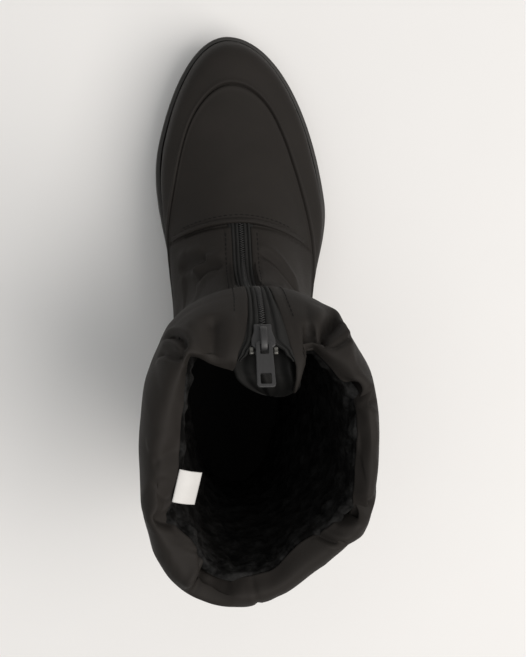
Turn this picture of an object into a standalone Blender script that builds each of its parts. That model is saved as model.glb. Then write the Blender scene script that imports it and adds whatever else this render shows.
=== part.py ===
"""Padded winter boot with a front zip, right foot, European size 40.

The boot stands on its sole: +Z is up, +Y points to the toe and +X to the outer side of the foot.
Lengths are millimetres, and become metres where a mesh is made.
The upper is one padded wall. Its outer skin is a function of two numbers: a level, which climbs
through the rows of SECTIONS from the sole to the collar, and an angle round the boot, which is 0 at
the front and grows towards the outer side.
"""

import math

import bmesh
import bpy
import numpy as np
from mathutils import Matrix, Vector

# General sizes
MM = 0.001
GAP = 0.3
COLUMNS = 64

# Places along a ring, as the cosine of its angle, where the table gives a half width
BALL_INNER = 0.55
BALL_OUTER = 0.30
WAIST = -0.15
HEEL = -0.70
SIDE = 0.20
HEEL_ROUND = 2.6

# One row for each ring of the upper, from the sole to the inside of the collar.
# front_y, back_y: ends of the ring. front_z, side_z, back_z: its heights.
# in_ and out_: half widths on the inner and the outer side of the foot.
# round: fullness of the front. shift: how far the front lies to the side.
# press: how far the outer back corner is pushed in, at the angle and spread in PRESS, in degrees.
SECTION_COLUMNS = (
    "front_y", "back_y", "front_z", "side_z", "back_z",
    "in_ball", "in_waist", "in_heel", "out_ball", "out_waist", "out_heel", "round", "shift", "press",
)
SECTIONS = {
    "feather":     (144.6, -132.6, 25.0, 16.5, 27.0, 48.0, 31.6, 38.4, 59.3, 48.6, 39.4, 2.0, -3.0, 0.0),
    "cup_top":     (145.3, -133.2, 34.5, 26.0, 37.0, 48.8, 32.4, 38.8, 59.9, 49.2, 39.8, 2.0, -3.0, 0.0),
    "side_bulge":  (145.0, -134.0, 41.0, 35.0, 47.0, 49.0, 34.0, 39.2, 59.7, 49.6, 40.2, 2.0, -3.0, 0.0),
    "toe_round":   (136.5, -134.4, 50.5, 44.5, 56.0, 47.4, 35.0, 39.2, 56.8, 49.0, 40.2, 2.0, -2.8, 0.0),
    "apron_seam":  (117.0, -134.4, 55.5, 51.5, 64.0, 44.0, 36.0, 38.6, 50.0, 46.5, 39.6, 2.0, -2.5, 0.0),
    "vamp":        (87.0, -133.8, 62.5, 60.5, 76.0, 40.0, 37.0, 38.0, 44.5, 43.6, 39.2, 2.0, -1.4, 0.0),
    "instep_low":  (57.0, -132.6, 72.0, 71.0, 89.0, 38.0, 37.8, 37.6, 41.5, 42.4, 38.6, 2.0, -0.3, 0.0),
    "instep_high": (31.0, -131.4, 83.5, 85.0, 103.0, 37.6, 38.6, 37.6, 40.0, 41.6, 38.6, 2.0, 0.5, 0.0),
    "ankle":       (8.5, -131.0, 99.5, 103.0, 119.0, 39.6, 40.6, 38.6, 40.4, 42.0, 39.2, 2.1, 0.4, 0.5),
    "shaft_low":   (-0.5, -133.0, 129.0, 134.0, 144.0, 45.4, 46.4, 43.4, 44.6, 46.0, 42.4, 2.2, 0.0, 3.0),
    "shaft_mid":   (0.0, -139.0, 164.0, 169.0, 174.0, 52.6, 53.0, 49.6, 50.0, 51.0, 46.6, 2.3, -0.8, 8.0),
    "collar_low":  (2.4, -145.6, 194.0, 202.0, 203.0, 57.8, 58.0, 54.0, 54.4, 55.0, 50.6, 2.4, -1.6, 12.0),
    "collar_out":  (-5.5, -148.65, 215.0, 221.0, 221.0, 58.6, 59.0, 55.0, 54.8, 55.6, 51.0, 2.4, -2.0, 13.5),
    "collar_turn": (-19.0, -147.4, 228.0, 234.0, 232.5, 55.8, 56.0, 52.0, 52.2, 53.0, 48.4, 2.4, -2.4, 13.5),
    "crest":       (-32.0, -141.0, 232.5, 239.5, 237.5, 49.6, 50.0, 46.0, 46.0, 47.0, 42.4, 2.4, -3.0, 12.5),
    "lip":         (-42.0, -133.0, 226.0, 230.5, 228.5, 41.0, 41.4, 37.4, 37.4, 38.4, 33.8, 2.4, -3.2, 11.0),
}
PRESS = {"angle": 151.0, "spread": 26.0}
ROW = {name: index for index, name in enumerate(SECTIONS)}

# Wall thickness at a few rings, and the extra thickness of the band round the foot
WALL = {"feather": 4.0, "instep_low": 4.6, "ankle": 5.6, "shaft_low": 7.0, "shaft_mid": 9.5, "collar_low": 14.0}
BAND_STEP = 0.9
STEP_RUN = 0.06

# Folds of the soft collar: angle and half spread in degrees, how far the skin goes in there,
# and the levels where the fold starts and where it has its full depth.
FOLD_COLUMNS = ("angle", "spread", "depth", "start", "full")
FOLDS = {
    "front_outer_corner": (36.0, 12.0, -2.6, 9.0, 11.0),
    "front_outer_fold": (47.0, 6.0, 4.2, 9.0, 11.0),
    "outer_fold": (76.0, 6.0, 2.6, 9.0, 11.0),
    "outer_back_fold": (112.0, 6.0, 3.0, 9.0, 11.0),
    "back_seam": (182.0, 9.0, -1.6, 9.0, 11.0),
    "back_inner_fold": (207.0, 7.0, 2.8, 9.0, 11.0),
    "back_inner_corner": (232.0, 16.0, -3.4, 9.0, 11.0),
    "inner_fold": (268.0, 7.0, 1.4, 9.0, 11.0),
    "front_inner_corner": (318.0, 14.0, -3.2, 9.0, 11.0),
    "front_inner_fold": (330.0, 6.0, 2.8, 9.0, 11.0),
}

# Sole
SOLE_OUTLINE = (148.0, -136.0, 25.0, 16.5, 27.0, 51.5, 35.0, 42.0, 62.7, 52.0, 43.0, 2.0, -3.0, 0.0)
CUP_WALL = 9.0
ARCH = {"back": -62.0, "front": -4.0, "rise": 6.0}
TOE_SPRING = {"start": 74.0, "rise": 13.0}
SOLE_EDGE_ROUND = 1.6
SIDE_GROOVE = {"height": 0.52, "half": 1.1, "depth": 1.4}
TREAD = {"depth": 4.2, "width": 5.0, "pitch": 13.0, "sweep": 7.0, "half_span": 75.0}
TREAD_HEEL = (-124.0, -72.0)
TREAD_FOREFOOT = (6.0, 124.0)

# Insole
INSOLE_THICKNESS = 4.0

# Front opening and zip
THROAT_Y = 32.0
ZIP_START = 0.1
SLIT_HALF = 4.6
SLIT_MOUTH_HALF = 9.5
CHAIN = {"half": 2.1, "top": -0.6, "bottom": -2.6}
TAPE = {"top": -1.2, "bottom": -2.2, "width": 1.9}
GUSSET = {"depth": 3.6, "thickness": 1.0, "half": 8.2, "mouth_back": 5.0, "mouth_drop": 6.0}
SLIDER = {"length": 15.0, "narrow": 7.4, "wide": 11.4, "end": 7.6, "shoulders": (0.0, 0.4, 0.55), "plate": 1.8, "under": 0.7, "slack": 1.1}
BRIDGE = {"length": 11.6, "width": 2.4, "bar": 1.3, "clear": 2.4}
PULL = {"length": 24.0, "width": 7.4, "end_width": 8.6, "thickness": 1.4, "bar": 1.4, "slot": 5.2, "slot_half": 1.8,
        "window": 5.0, "window_margin": 1.5, "height": 1.2}
PIVOT_FROM_BRIDGE_END = 2.9
TOP_STOP = {"side": 5.6, "start": 4.9, "width": 2.4, "length": 3.6, "height": 1.9}

# Raised edge of the toe panel across the instep: its plan is a parabola through the throat
VAMP_EDGE = {"y": 35.4, "half_span": 36.0, "bow": 0.0075, "width": 3.6, "height": 1.0, "steps": 18}

# Label inside the collar
LABEL = {"angle": 267.0, "half_width": 7.8, "drop": 9.0, "lean": 9.5, "clear": 1.5, "thickness": 0.5}


def smoothstep(low, high, value):
    t = np.clip((value - low) / (high - low), 0.0, 1.0)
    return t * t * (3.0 - 2.0 * t)


def section_values(level):
    """The columns of SECTIONS at any level, on a Catmull-Rom curve through the rows."""
    rows = np.array(list(SECTIONS.values()))
    padded = np.vstack([2 * rows[0] - rows[1], rows, 2 * rows[-1] - rows[-2]])
    level = np.asarray(level, float)
    index = np.clip(np.floor(level).astype(int), 0, len(rows) - 2)
    t = (level - index)[..., None]
    a, b, c, d = (padded[index + k] for k in range(4))
    values = 0.5 * (2 * b + (c - a) * t + (2 * a - 5 * b + 4 * c - d) * t**2 + (3 * b - a - 3 * c + d) * t**3)
    return dict(zip(SECTION_COLUMNS, np.moveaxis(values, -1, 0)))


def half_width(cosine, ball_at, ball, waist, heel):
    to_waist = smoothstep(HEEL, WAIST, cosine)
    to_ball = smoothstep(WAIST, ball_at, cosine)
    return heel + (waist - heel) * to_waist + (ball - waist) * to_ball


def ring_points(row, angle):
    """Points of one ring at the given angles: a rounded oval with its own inner and outer half widths."""
    cosine = np.cos(angle)
    fullness = np.where(cosine > 0, row["round"], HEEL_ROUND)
    profile = np.clip(1.0 - np.abs(cosine) ** fullness, 0.0, None) ** (1.0 / fullness)
    outer = half_width(cosine, BALL_OUTER, row["out_ball"], row["out_waist"], row["out_heel"])
    inner = half_width(cosine, BALL_INNER, row["in_ball"], row["in_waist"], row["in_heel"])
    x = np.where(np.sin(angle) >= 0, outer, -inner) * profile + row["shift"] * ((1 + cosine) / 2) ** 2
    y = (row["front_y"] + row["back_y"]) / 2 + (row["front_y"] - row["back_y"]) / 2 * cosine
    pressed = row["press"] * np.exp(-(((np.degrees(angle) - PRESS["angle"]) / PRESS["spread"]) ** 2))
    x = x - pressed * math.sin(math.radians(PRESS["angle"]))
    y = y - pressed * math.cos(math.radians(PRESS["angle"]))
    # Parabola through the front, side and back heights
    z = (
        row["front_z"] * (cosine - SIDE) * (cosine + 1) / ((1 - SIDE) * 2)
        + row["side_z"] * (cosine - 1) * (cosine + 1) / ((SIDE - 1) * (SIDE + 1))
        + row["back_z"] * (cosine - 1) * (cosine - SIDE) / (2 * (1 + SIDE))
    )
    return np.stack(np.broadcast_arrays(x, y, z), axis=-1)


def slit_half(level):
    """Half width of the front opening, which spreads evenly from the slider to the crest."""
    return np.interp(level, [ROW["collar_out"] + 0.5, ROW["crest"]], [SLIT_HALF, SLIT_MOUTH_HALF])


def column_angles(row, half):
    """COLUMNS angles from one side of the front opening, round the heel, to the other side."""
    def edge(ball):
        return np.arccos((1.0 - (half / ball) ** row["round"]) ** (1.0 / row["round"]))

    outer, inner = edge(row["out_ball"]), edge(row["in_ball"])
    share = np.linspace(0.0, 1.0, COLUMNS)
    lean = smoothstep(0.0, 1.0, share)
    even = 2 * math.pi * share
    return even + outer[..., None] * (1 - lean) * (1 - share) - inner[..., None] * lean * share


def inner_slit_half(level):
    """Half width of the opening on the lining side, which spreads lower down."""
    return np.interp(level, [ROW["shaft_mid"], ROW["collar_low"]], [SLIT_HALF, SLIT_MOUTH_HALF])


def skin(levels, opening=slit_half):
    """Outer skin of the upper before its folds, as an array of rings, with the angle of every point."""
    levels = np.asarray(levels, float)
    row = section_values(levels)
    angles = column_angles(row, opening(levels))
    return ring_points({name: column[:, None] for name, column in row.items()}, angles), angles


def unit(vectors):
    return vectors / np.linalg.norm(vectors, axis=-1, keepdims=True)


def skin_normals(points):
    """Outward normals of an array of rings. Those beside the front opening stay in its plane."""
    along = np.gradient(points, axis=0)
    round_ = np.gradient(points, axis=1)
    normals = np.cross(along, round_)
    normals[:, (0, -1), 0] = 0.0
    return unit(normals)


def fold_depth(levels, angles):
    """How far the collar's folds push the skin in, as bell curves in the angle."""
    levels = np.asarray(levels, float)[:, None]
    degrees = np.degrees(angles)
    depth = np.zeros_like(angles)
    for angle, spread, push, start, full in FOLDS.values():
        away = (degrees - angle + 180.0) % 360.0 - 180.0
        depth += push * np.exp(-((away / spread) ** 2)) * smoothstep(start, full, levels)
    return depth


def wall_thickness(levels):
    return np.interp(levels, [ROW[name] for name in WALL], list(WALL.values()))


def outer_skin(levels):
    """Outer skin with the collar's folds and the step at the top of the band round the foot."""
    levels = np.asarray(levels, float)
    base, angles = skin(levels)
    band = BAND_STEP * smoothstep(ROW["cup_top"], ROW["side_bulge"], levels) * (levels <= ROW["apron_seam"])
    return base + skin_normals(base) * (band[:, None] - fold_depth(levels, angles))[..., None]


def inner_skin(levels):
    """Lining side of the wall: the skin moved in by the wall's thickness."""
    levels = np.asarray(levels, float)
    base, angles = skin(levels, inner_slit_half)
    depth = wall_thickness(levels)[:, None] + fold_depth(levels, angles)
    return base - skin_normals(base) * depth[..., None]


def front_line(levels):
    """Centre line of the front opening on the skin, with its tangent up the zip and its outward normal."""
    levels = np.asarray(levels, float)
    points = ring_points(section_values(levels), np.zeros_like(levels))
    tangents = unit(np.gradient(points, levels, axis=0))
    normals = unit(np.cross(tangents, [1.0, 0.0, 0.0]))
    return points, tangents, normals


def throat_level():
    """Level where the front line passes the lower end of the opening."""
    levels = np.linspace(ROW["vamp"], ROW["ankle"], 400)
    y = section_values(levels)["front_y"]
    return float(np.interp(-THROAT_Y, -y, levels))


def shaft_levels():
    """Rings between the throat and the collar."""
    return np.linspace(throat_level(), ROW["collar_low"], 10)[1:].tolist()


def roll_levels():
    """Rings over the rolled collar, two for each row of the table."""
    return np.linspace(ROW["collar_low"], ROW["lip"], 9)[1:].tolist()


def zip_levels(end):
    """Levels of the strips in the front opening: the upper's own rings and one between each two."""
    rings = [throat_level() + ZIP_START] + shaft_levels() + roll_levels()
    rings = [level for level in rings if level < end] + [end]
    between = [(low + high) / 2 for low, high in zip(rings, rings[1:])]
    return np.array(sorted(rings + between))


# Mesh helpers

def new_material(name, colour, roughness, metallic=0.0):
    material = bpy.data.materials.new(name)
    material.use_nodes = True
    shader = material.node_tree.nodes["Principled BSDF"]
    shader.inputs["Base Color"].default_value = (*colour, 1.0)
    shader.inputs["Roughness"].default_value = roughness
    shader.inputs["Metallic"].default_value = metallic
    return material


def new_object(name, points, faces, material, parent):
    """A closed mesh object from points in millimetres, with its faces turned outwards."""
    mesh = bpy.data.meshes.new(name)
    mesh.from_pydata((np.asarray(points) * MM).tolist(), [], faces)
    shape = bmesh.new()
    shape.from_mesh(mesh)
    bmesh.ops.recalc_face_normals(shape, faces=shape.faces)
    shape.to_mesh(mesh)
    shape.free()
    mesh.materials.append(material)
    mesh.shade_smooth()
    mesh.set_sharp_from_angle(angle=math.radians(40))
    thing = bpy.data.objects.new(name, mesh)
    bpy.context.scene.collection.objects.link(thing)
    thing.parent = parent
    return thing


def helper(thing):
    thing.hide_render = True
    thing.display_type = "WIRE"
    return thing


def ring_faces(rings, columns, closed=True):
    """Quads between neighbouring rings of the same number of points."""
    faces = []
    for r in range(rings - 1):
        for c in range(columns if closed else columns - 1):
            following = (c + 1) % columns
            faces.append((r * columns + c, r * columns + following,
                          (r + 1) * columns + following, (r + 1) * columns + c))
    return faces


def cap_faces(start, columns):
    """Strips across a ring, between points of the two sides that face each other."""
    faces = []
    for c in range(columns // 2 - 1):
        mate = columns - 1 - c
        faces.append((start + c, start + c + 1, start + mate - 1, start + mate))
    return faces


def swept(name, sections, material, parent):
    """A bar with flat ends through a list of sections with the same number of points."""
    sections = np.asarray(sections)
    rings, columns = sections.shape[:2]
    faces = ring_faces(rings, columns)
    faces.append(tuple(range(columns)))
    faces.append(tuple(range((rings - 1) * columns, rings * columns)))
    return new_object(name, sections.reshape(-1, 3), faces, material, parent)


def box(name, low, high, material, parent):
    corners = [(x, y, z) for z in (low[2], high[2]) for x, y in
               ((low[0], low[1]), (high[0], low[1]), (high[0], high[1]), (low[0], high[1]))]
    return swept(name, np.array(corners, float).reshape(2, 4, 3), material, parent)


def boolean(thing, other, operation):
    modifier = thing.modifiers.new(operation.lower(), "BOOLEAN")
    modifier.operation = operation
    modifier.object = helper(other)


# Upper

def build_upper(material, parent):
    """The padded wall: rings up the outside, over the rolled collar and down the inside."""
    throat = throat_level()
    foot = [0.0, 0.5, 1.0, 1.5, 2.0, 2.5, 3.0, 3.5, 4.0, 4.0 + STEP_RUN, 4.5, 5.0, 5.5, 6.0, 6.5, throat]
    shaft, roll = shaft_levels(), roll_levels()
    wall = foot + shaft
    outside = outer_skin(wall + roll)
    inside = inner_skin(wall)[::-1]
    rings = np.concatenate([outside, inside])
    count = len(rings)
    points = rings.reshape(-1, 3)
    faces = ring_faces(count, COLUMNS, closed=False)
    faces += [(COLUMNS * (count - 1) + c, COLUMNS * (count - 1) + c + 1, c + 1, c) for c in range(COLUMNS - 1)]
    first, last = len(foot) - 1, count - len(foot)
    # Under the throat the front is closed; above it the two edges of the opening get their own walls.
    closed_rings = list(range(last, count)) + list(range(first + 1))
    for here, there in zip(closed_rings, closed_rings[1:]):
        faces.append((here * COLUMNS + COLUMNS - 1, here * COLUMNS, there * COLUMNS, there * COLUMNS + COLUMNS - 1))
    faces.append((first * COLUMNS + COLUMNS - 1, first * COLUMNS, last * COLUMNS, last * COLUMNS + COLUMNS - 1))
    for column in (0, COLUMNS - 1):
        low, high = first, last
        while high - low > 2:
            faces.append(tuple(ring * COLUMNS + column for ring in (low, low + 1, high - 1, high)))
            low, high = low + 1, high - 1
        if high - low == 2:
            faces.append(tuple(ring * COLUMNS + column for ring in (low, low + 1, high)))
    return new_object("upper", points, faces, material, parent)


# Sole and insole

def ground(y):
    """Height of the sole's underside: flat heel and forefoot, raised arch and toe spring."""
    middle = (ARCH["back"] + ARCH["front"]) / 2
    reach = (ARCH["front"] - ARCH["back"]) / 2
    arch = ARCH["rise"] * np.clip(1 - ((y - middle) / reach) ** 2, 0, None) ** 1.5
    tip = SOLE_OUTLINE[0] - TOE_SPRING["start"]
    toe = TOE_SPRING["rise"] * np.clip((y - TOE_SPRING["start"]) / tip, 0, None) ** 2
    return arch + toe


def offset_ring(ring, distance):
    """A ring moved outwards in plan by a distance."""
    along = unit((np.roll(ring, -1, axis=0) - np.roll(ring, 1, axis=0))[:, :2])
    moved = ring.copy()
    moved[:, 0] += along[:, 1] * -distance
    moved[:, 1] += along[:, 0] * distance
    return moved


def at_height(ring, height):
    raised = ring.copy()
    raised[:, 2] = height
    return raised


def sole_ring():
    row = dict(zip(SECTION_COLUMNS, np.array(SOLE_OUTLINE)))
    angles = column_angles({name: np.array([value]) for name, value in row.items()}, np.array([SLIT_HALF]))[0]
    return ring_points(row, angles)


def build_outsole(material, parent):
    """Cup sole: tread side with a groove, a cup wall round the upper and a flat bed inside it."""
    outline = sole_ring()
    bed = offset_ring(outer_skin([ROW["feather"], ROW["feather"] + 0.5])[0], GAP)
    rim = offset_ring(outer_skin([ROW["cup_top"] - 0.5, ROW["cup_top"]])[1], GAP)
    under = ground(outline[:, 1])
    top = outline[:, 2] + CUP_WALL
    groove = under + (top - under) * SIDE_GROOVE["height"]
    half, depth = SIDE_GROOVE["half"], SIDE_GROOVE["depth"]
    inset = offset_ring(outline, -SOLE_EDGE_ROUND)
    rings = [
        at_height(inset, ground(inset[:, 1])),
        at_height(outline, under + SOLE_EDGE_ROUND),
        at_height(outline, groove - 2 * half),
        at_height(offset_ring(outline, -depth), groove - half),
        at_height(offset_ring(outline, -depth), groove + half),
        at_height(outline, groove + 2 * half),
        at_height(outline, top - SOLE_EDGE_ROUND / 2),
        at_height(offset_ring(outline, -SOLE_EDGE_ROUND / 2), top),
        at_height(rim, top),
        at_height(bed, outline[:, 2] - GAP),
    ]
    faces = ring_faces(len(rings), COLUMNS)
    faces += cap_faces(0, COLUMNS) + cap_faces((len(rings) - 1) * COLUMNS, COLUMNS)
    outsole = new_object("outsole", np.concatenate(rings), faces, material, parent)
    starts = [y for first, end in (TREAD_HEEL, TREAD_FOREFOOT) for y in np.arange(first, end, TREAD["pitch"])]
    for number, start in enumerate(starts):
        boolean(outsole, tread_cutter(f"tread_cutter_{number}", start, material, parent), "DIFFERENCE")
    return outsole


def tread_cutter(name, start, material, parent):
    """A chevron bar under the sole, swept forward in the middle, which leaves one groove of the tread."""
    sections = []
    for x, sweep in ((-TREAD["half_span"], 0.0), (0.0, TREAD["sweep"]), (TREAD["half_span"], 0.0)):
        near, far = start + sweep, start + sweep + TREAD["width"]
        floor = [float(ground(y)) for y in (near, far)]
        sections.append([
            (x, near, floor[0] - TREAD["depth"]), (x, far, floor[1] - TREAD["depth"]),
            (x, far, floor[1] + TREAD["depth"]), (x, near, floor[0] + TREAD["depth"]),
        ])
    return swept(name, sections, material, parent)


def build_insole(material, parent):
    """Footbed that fills the inside of the upper's lower edge."""
    edge = offset_ring(inner_skin([ROW["feather"], ROW["feather"] + 0.5])[0], -GAP)
    top_edge = offset_ring(inner_skin([ROW["feather"], ROW["feather"] + 0.5])[1], -GAP)
    height = sole_ring()[:, 2]
    rings = [at_height(edge, height), at_height(top_edge, height + INSOLE_THICKNESS)]
    faces = ring_faces(len(rings), COLUMNS) + cap_faces(0, COLUMNS) + cap_faces(COLUMNS, COLUMNS)
    return new_object("insole", np.concatenate(rings), faces, material, parent)


# Raised edge across the instep

def surface_point(x, y):
    """Point and normal of the vamp above a place in plan, found by Newton steps in level and angle."""
    level, angle = throat_level(), math.atan2(x, 40.0)
    step = 1e-3

    def at(one_level, one_angle):
        return ring_points({name: np.asarray(value) for name, value in section_values(one_level).items()},
                           np.asarray(one_angle))

    for _ in range(30):
        here = at(level, angle)
        by_level = (at(level + step, angle) - here) / step
        by_angle = (at(level, angle + step) - here) / step
        slope = np.array([[by_level[0], by_angle[0]], [by_level[1], by_angle[1]]])
        move = np.linalg.solve(slope, np.array([x, y]) - here[:2])
        level += float(np.clip(move[0], -0.5, 0.5))
        angle += float(np.clip(move[1], -0.3, 0.3))
    here = at(level, angle)
    return here, unit(np.cross(at(level + step, angle) - here, at(level, angle + step) - here))


def build_vamp_edge(material, parent):
    """Folded edge of the toe panel: a low bar that follows the instep from side to side."""
    span, width, height = VAMP_EDGE["half_span"], VAMP_EDGE["width"], VAMP_EDGE["height"]
    sections = []
    for x in np.linspace(-span, span, VAMP_EDGE["steps"]):
        y = VAMP_EDGE["y"] - VAMP_EDGE["bow"] * x**2
        corners = []
        for part, lift in ((0.0, GAP), (0.0, height), (0.3, height + GAP), (1.0, GAP * 2), (1.0, GAP)):
            point, normal = surface_point(x, y + (part - 0.5) * width)
            corners.append(point + normal * lift)
        sections.append(corners)
    return swept("vamp_edge", sections, material, parent)


# Zip

def gusset_line(levels):
    """Centre line of the gusset: just behind the zip, and set back and down at the mouth of the opening."""
    points, _, normals = front_line(levels)
    mouth = smoothstep(ROW["collar_low"], ROW["crest"], levels)[:, None]
    points = points - normals * GUSSET["depth"] * (1 - mouth)
    points -= np.array([0.0, GUSSET["mouth_back"], GUSSET["mouth_drop"]]) * mouth
    tangents = unit(np.gradient(points, levels, axis=0))
    return points, tangents, unit(np.cross(tangents, [1.0, 0.0, 0.0]))


def strip_along_front(name, levels, profile, material, parent, line=front_line):
    """A bar up the front opening. profile(level) gives its corners as (sideways, outwards) offsets."""
    points, _, normals = line(levels)
    sections = []
    for level, point, normal in zip(levels, points, normals):
        sections.append([point + np.array([side, 0, 0]) + normal * out for side, out in profile(level)])
    return swept(name, sections, material, parent)


def rectangle(left, right, bottom, top):
    return ((left, bottom), (right, bottom), (right, top), (left, top))


def build_zip_strips(materials, parent, slider_level):
    """Chain, the two tapes with their top stops, and the gusset behind them."""
    strip_along_front(
        "zip_chain", zip_levels(slider_level - 0.1),
        lambda level: rectangle(-CHAIN["half"], CHAIN["half"], CHAIN["bottom"], CHAIN["top"]),
        materials["zip"], parent)
    for side, name in ((-1, "medial"), (1, "lateral")):
        def tape_profile(level, side=side):
            far = slit_half(level) - GAP
            near = far - TAPE["width"]
            return rectangle(side * near, side * far, TAPE["bottom"], TAPE["top"])

        strip_along_front(f"zip_tape_{name}", zip_levels(ROW["crest"] - 0.1), tape_profile,
                          materials["tape"], parent)

    def gusset_profile(level):
        half = min(slit_half(level) - GAP, GUSSET["half"])
        return rectangle(-half, half, -GUSSET["thickness"], 0.0)

    strip_along_front("zip_gusset", zip_levels(ROW["crest"] + 0.2), gusset_profile,
                      materials["nylon"], parent, gusset_line)


def slider_frame(slider_level):
    """Place and axes of the slider: towards the inner side, up the zip and outwards."""
    points, _, normals = front_line(np.linspace(slider_level - 0.01, slider_level + 0.01, 3))
    sideways = np.array([-1.0, 0.0, 0.0])
    frame = Matrix.Identity(4)
    for column, axis in enumerate((sideways, np.cross(normals[1], sideways), normals[1])):
        frame.col[column][:3] = axis
    frame.col[3][:3] = points[1] * MM
    return frame


def prism(name, outline, low, high, material, parent):
    """A flat outline in the slider's plane, raised from low to high."""
    return swept(name, [[(x, y, z) for x, y in outline] for z in (low, high)], material, parent)


def build_slider(materials, parent, frame):
    """Slider: two plates on a post, and the bridge that holds the pull tab."""
    half_length = SLIDER["length"] / 2
    narrow, wide = SLIDER["narrow"] / 2, SLIDER["wide"] / 2
    half_end = SLIDER["end"] / 2
    low_shoulder, high_shoulder, neck = (half_length * share for share in SLIDER["shoulders"])
    outer = ((narrow, -half_length), (wide, low_shoulder), (wide, high_shoulder), (half_end, neck),
             (half_end, half_length))
    outline = outer + tuple((-x, y) for x, y in reversed(outer))
    plate_low = CHAIN["top"] + GAP
    plate_top = plate_low + SLIDER["plate"]
    under_top = CHAIN["bottom"] - SLIDER["slack"]
    slider = prism("zip_slider", outline, plate_low, plate_top, materials["zip_hard"], parent)
    under = prism("slider_under", outline, under_top - SLIDER["under"], under_top, materials["zip_hard"], parent)
    post = box("slider_post", (-1.0, half_length - 3.5, under_top - 0.2), (1.0, half_length - 1.0, plate_low + 0.2),
               materials["zip_hard"], parent)
    bridge_top = plate_top + BRIDGE["clear"] + BRIDGE["bar"]
    half_bridge = BRIDGE["length"] / 2
    arch = ((-half_bridge, plate_top - 0.4), (-half_bridge, bridge_top - 0.8), (0.8 - half_bridge, bridge_top),
            (half_bridge - 0.8, bridge_top), (half_bridge, bridge_top - 0.8), (half_bridge, plate_top - 0.4),
            (half_bridge - BRIDGE["bar"], plate_top - 0.4), (half_bridge - BRIDGE["bar"], bridge_top - BRIDGE["bar"]),
            (BRIDGE["bar"] - half_bridge, bridge_top - BRIDGE["bar"]), (BRIDGE["bar"] - half_bridge, plate_top - 0.4))
    sections = [[(x, y, z) for y, z in arch] for x in (-BRIDGE["width"] / 2, BRIDGE["width"] / 2)]
    bridge = swept("slider_bridge", sections, materials["zip_hard"], parent)
    for piece in (under, post, bridge):
        piece.matrix_basis = frame
        boolean(slider, piece, "UNION")
    slider.matrix_basis = frame
    return half_bridge, plate_top


def build_pull_tab(materials, parent, frame, half_bridge, plate_top):
    """Pull tab: a flat bar that turns on its own end under the bridge, with a slot and a window."""
    half, end_half, bar = PULL["width"] / 2, PULL["end_width"] / 2, PULL["bar"] / 2
    end = PULL["length"] - bar
    corner = 1.4
    outline = ((-half + corner, -bar), (half - corner, -bar), (half, corner - bar), (end_half, end - corner),
               (end_half - corner, end), (corner - end_half, end), (-end_half, end - corner), (-half, corner - bar))
    thick = PULL["thickness"] / 2
    tab = prism("zip_pull_tab", outline, -thick, thick, materials["zip_hard"], parent)
    slot = box("pull_slot", (-PULL["slot_half"], bar, -2 * thick), (PULL["slot_half"], bar + PULL["slot"], 2 * thick),
               materials["zip_hard"], parent)
    window_end = end - PULL["window_margin"]
    window = box("pull_window", (-PULL["window"] / 2, window_end - PULL["window"], -2 * thick),
                 (PULL["window"] / 2, window_end, 2 * thick), materials["zip_hard"], parent)
    pivot = Vector((0.0, half_bridge - PIVOT_FROM_BRIDGE_END, plate_top + PULL["height"])) * MM
    hinge = frame @ Matrix.Translation(pivot)
    for piece in (tab, slot, window):
        piece.matrix_basis = hinge
    boolean(tab, slot, "DIFFERENCE")
    boolean(tab, window, "DIFFERENCE")


def build_top_stops(materials, parent, frame):
    """Crimped stop at the top of each tape, just past the slider."""
    side_half = TOP_STOP["width"] / 2
    base = TAPE["top"] + GAP
    for side, name in ((1, "medial"), (-1, "lateral")):
        low = (side * TOP_STOP["side"] - side_half, TOP_STOP["start"], base)
        high = (side * TOP_STOP["side"] + side_half, TOP_STOP["start"] + TOP_STOP["length"], base + TOP_STOP["height"])
        box(f"zip_top_stop_{name}", low, high, materials["zip_hard"], parent).matrix_basis = frame


# Label

def build_label(material, parent):
    """Small woven label that hangs from the inner edge of the collar on the inner side of the foot."""
    levels = np.array([ROW["lip"] - 0.05, ROW["lip"]])
    points, angles = skin(levels)
    edge = outer_skin(levels)[1]
    column = int(np.argmin(np.abs(np.degrees(angles[1]) - LABEL["angle"])))
    middle = edge[column]
    along = unit(edge[column + 1] - edge[column - 1])
    inwards = unit(np.cross(along, [0.0, 0.0, 1.0]))
    if np.dot(inwards, points[1].mean(axis=0) - middle) < 0:
        inwards = -inwards
    sections = []
    for share in (0.0, 0.5, 1.0):
        out = inwards * (LABEL["clear"] + LABEL["lean"] * share)
        down = np.array([0.0, 0.0, -LABEL["drop"] * share])
        near = middle + out + down
        far = near + inwards * LABEL["thickness"]
        sections.append([near - along * LABEL["half_width"], near + along * LABEL["half_width"],
                         far + along * LABEL["half_width"], far - along * LABEL["half_width"]])
    return swept("label", sections, material, parent)


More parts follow.
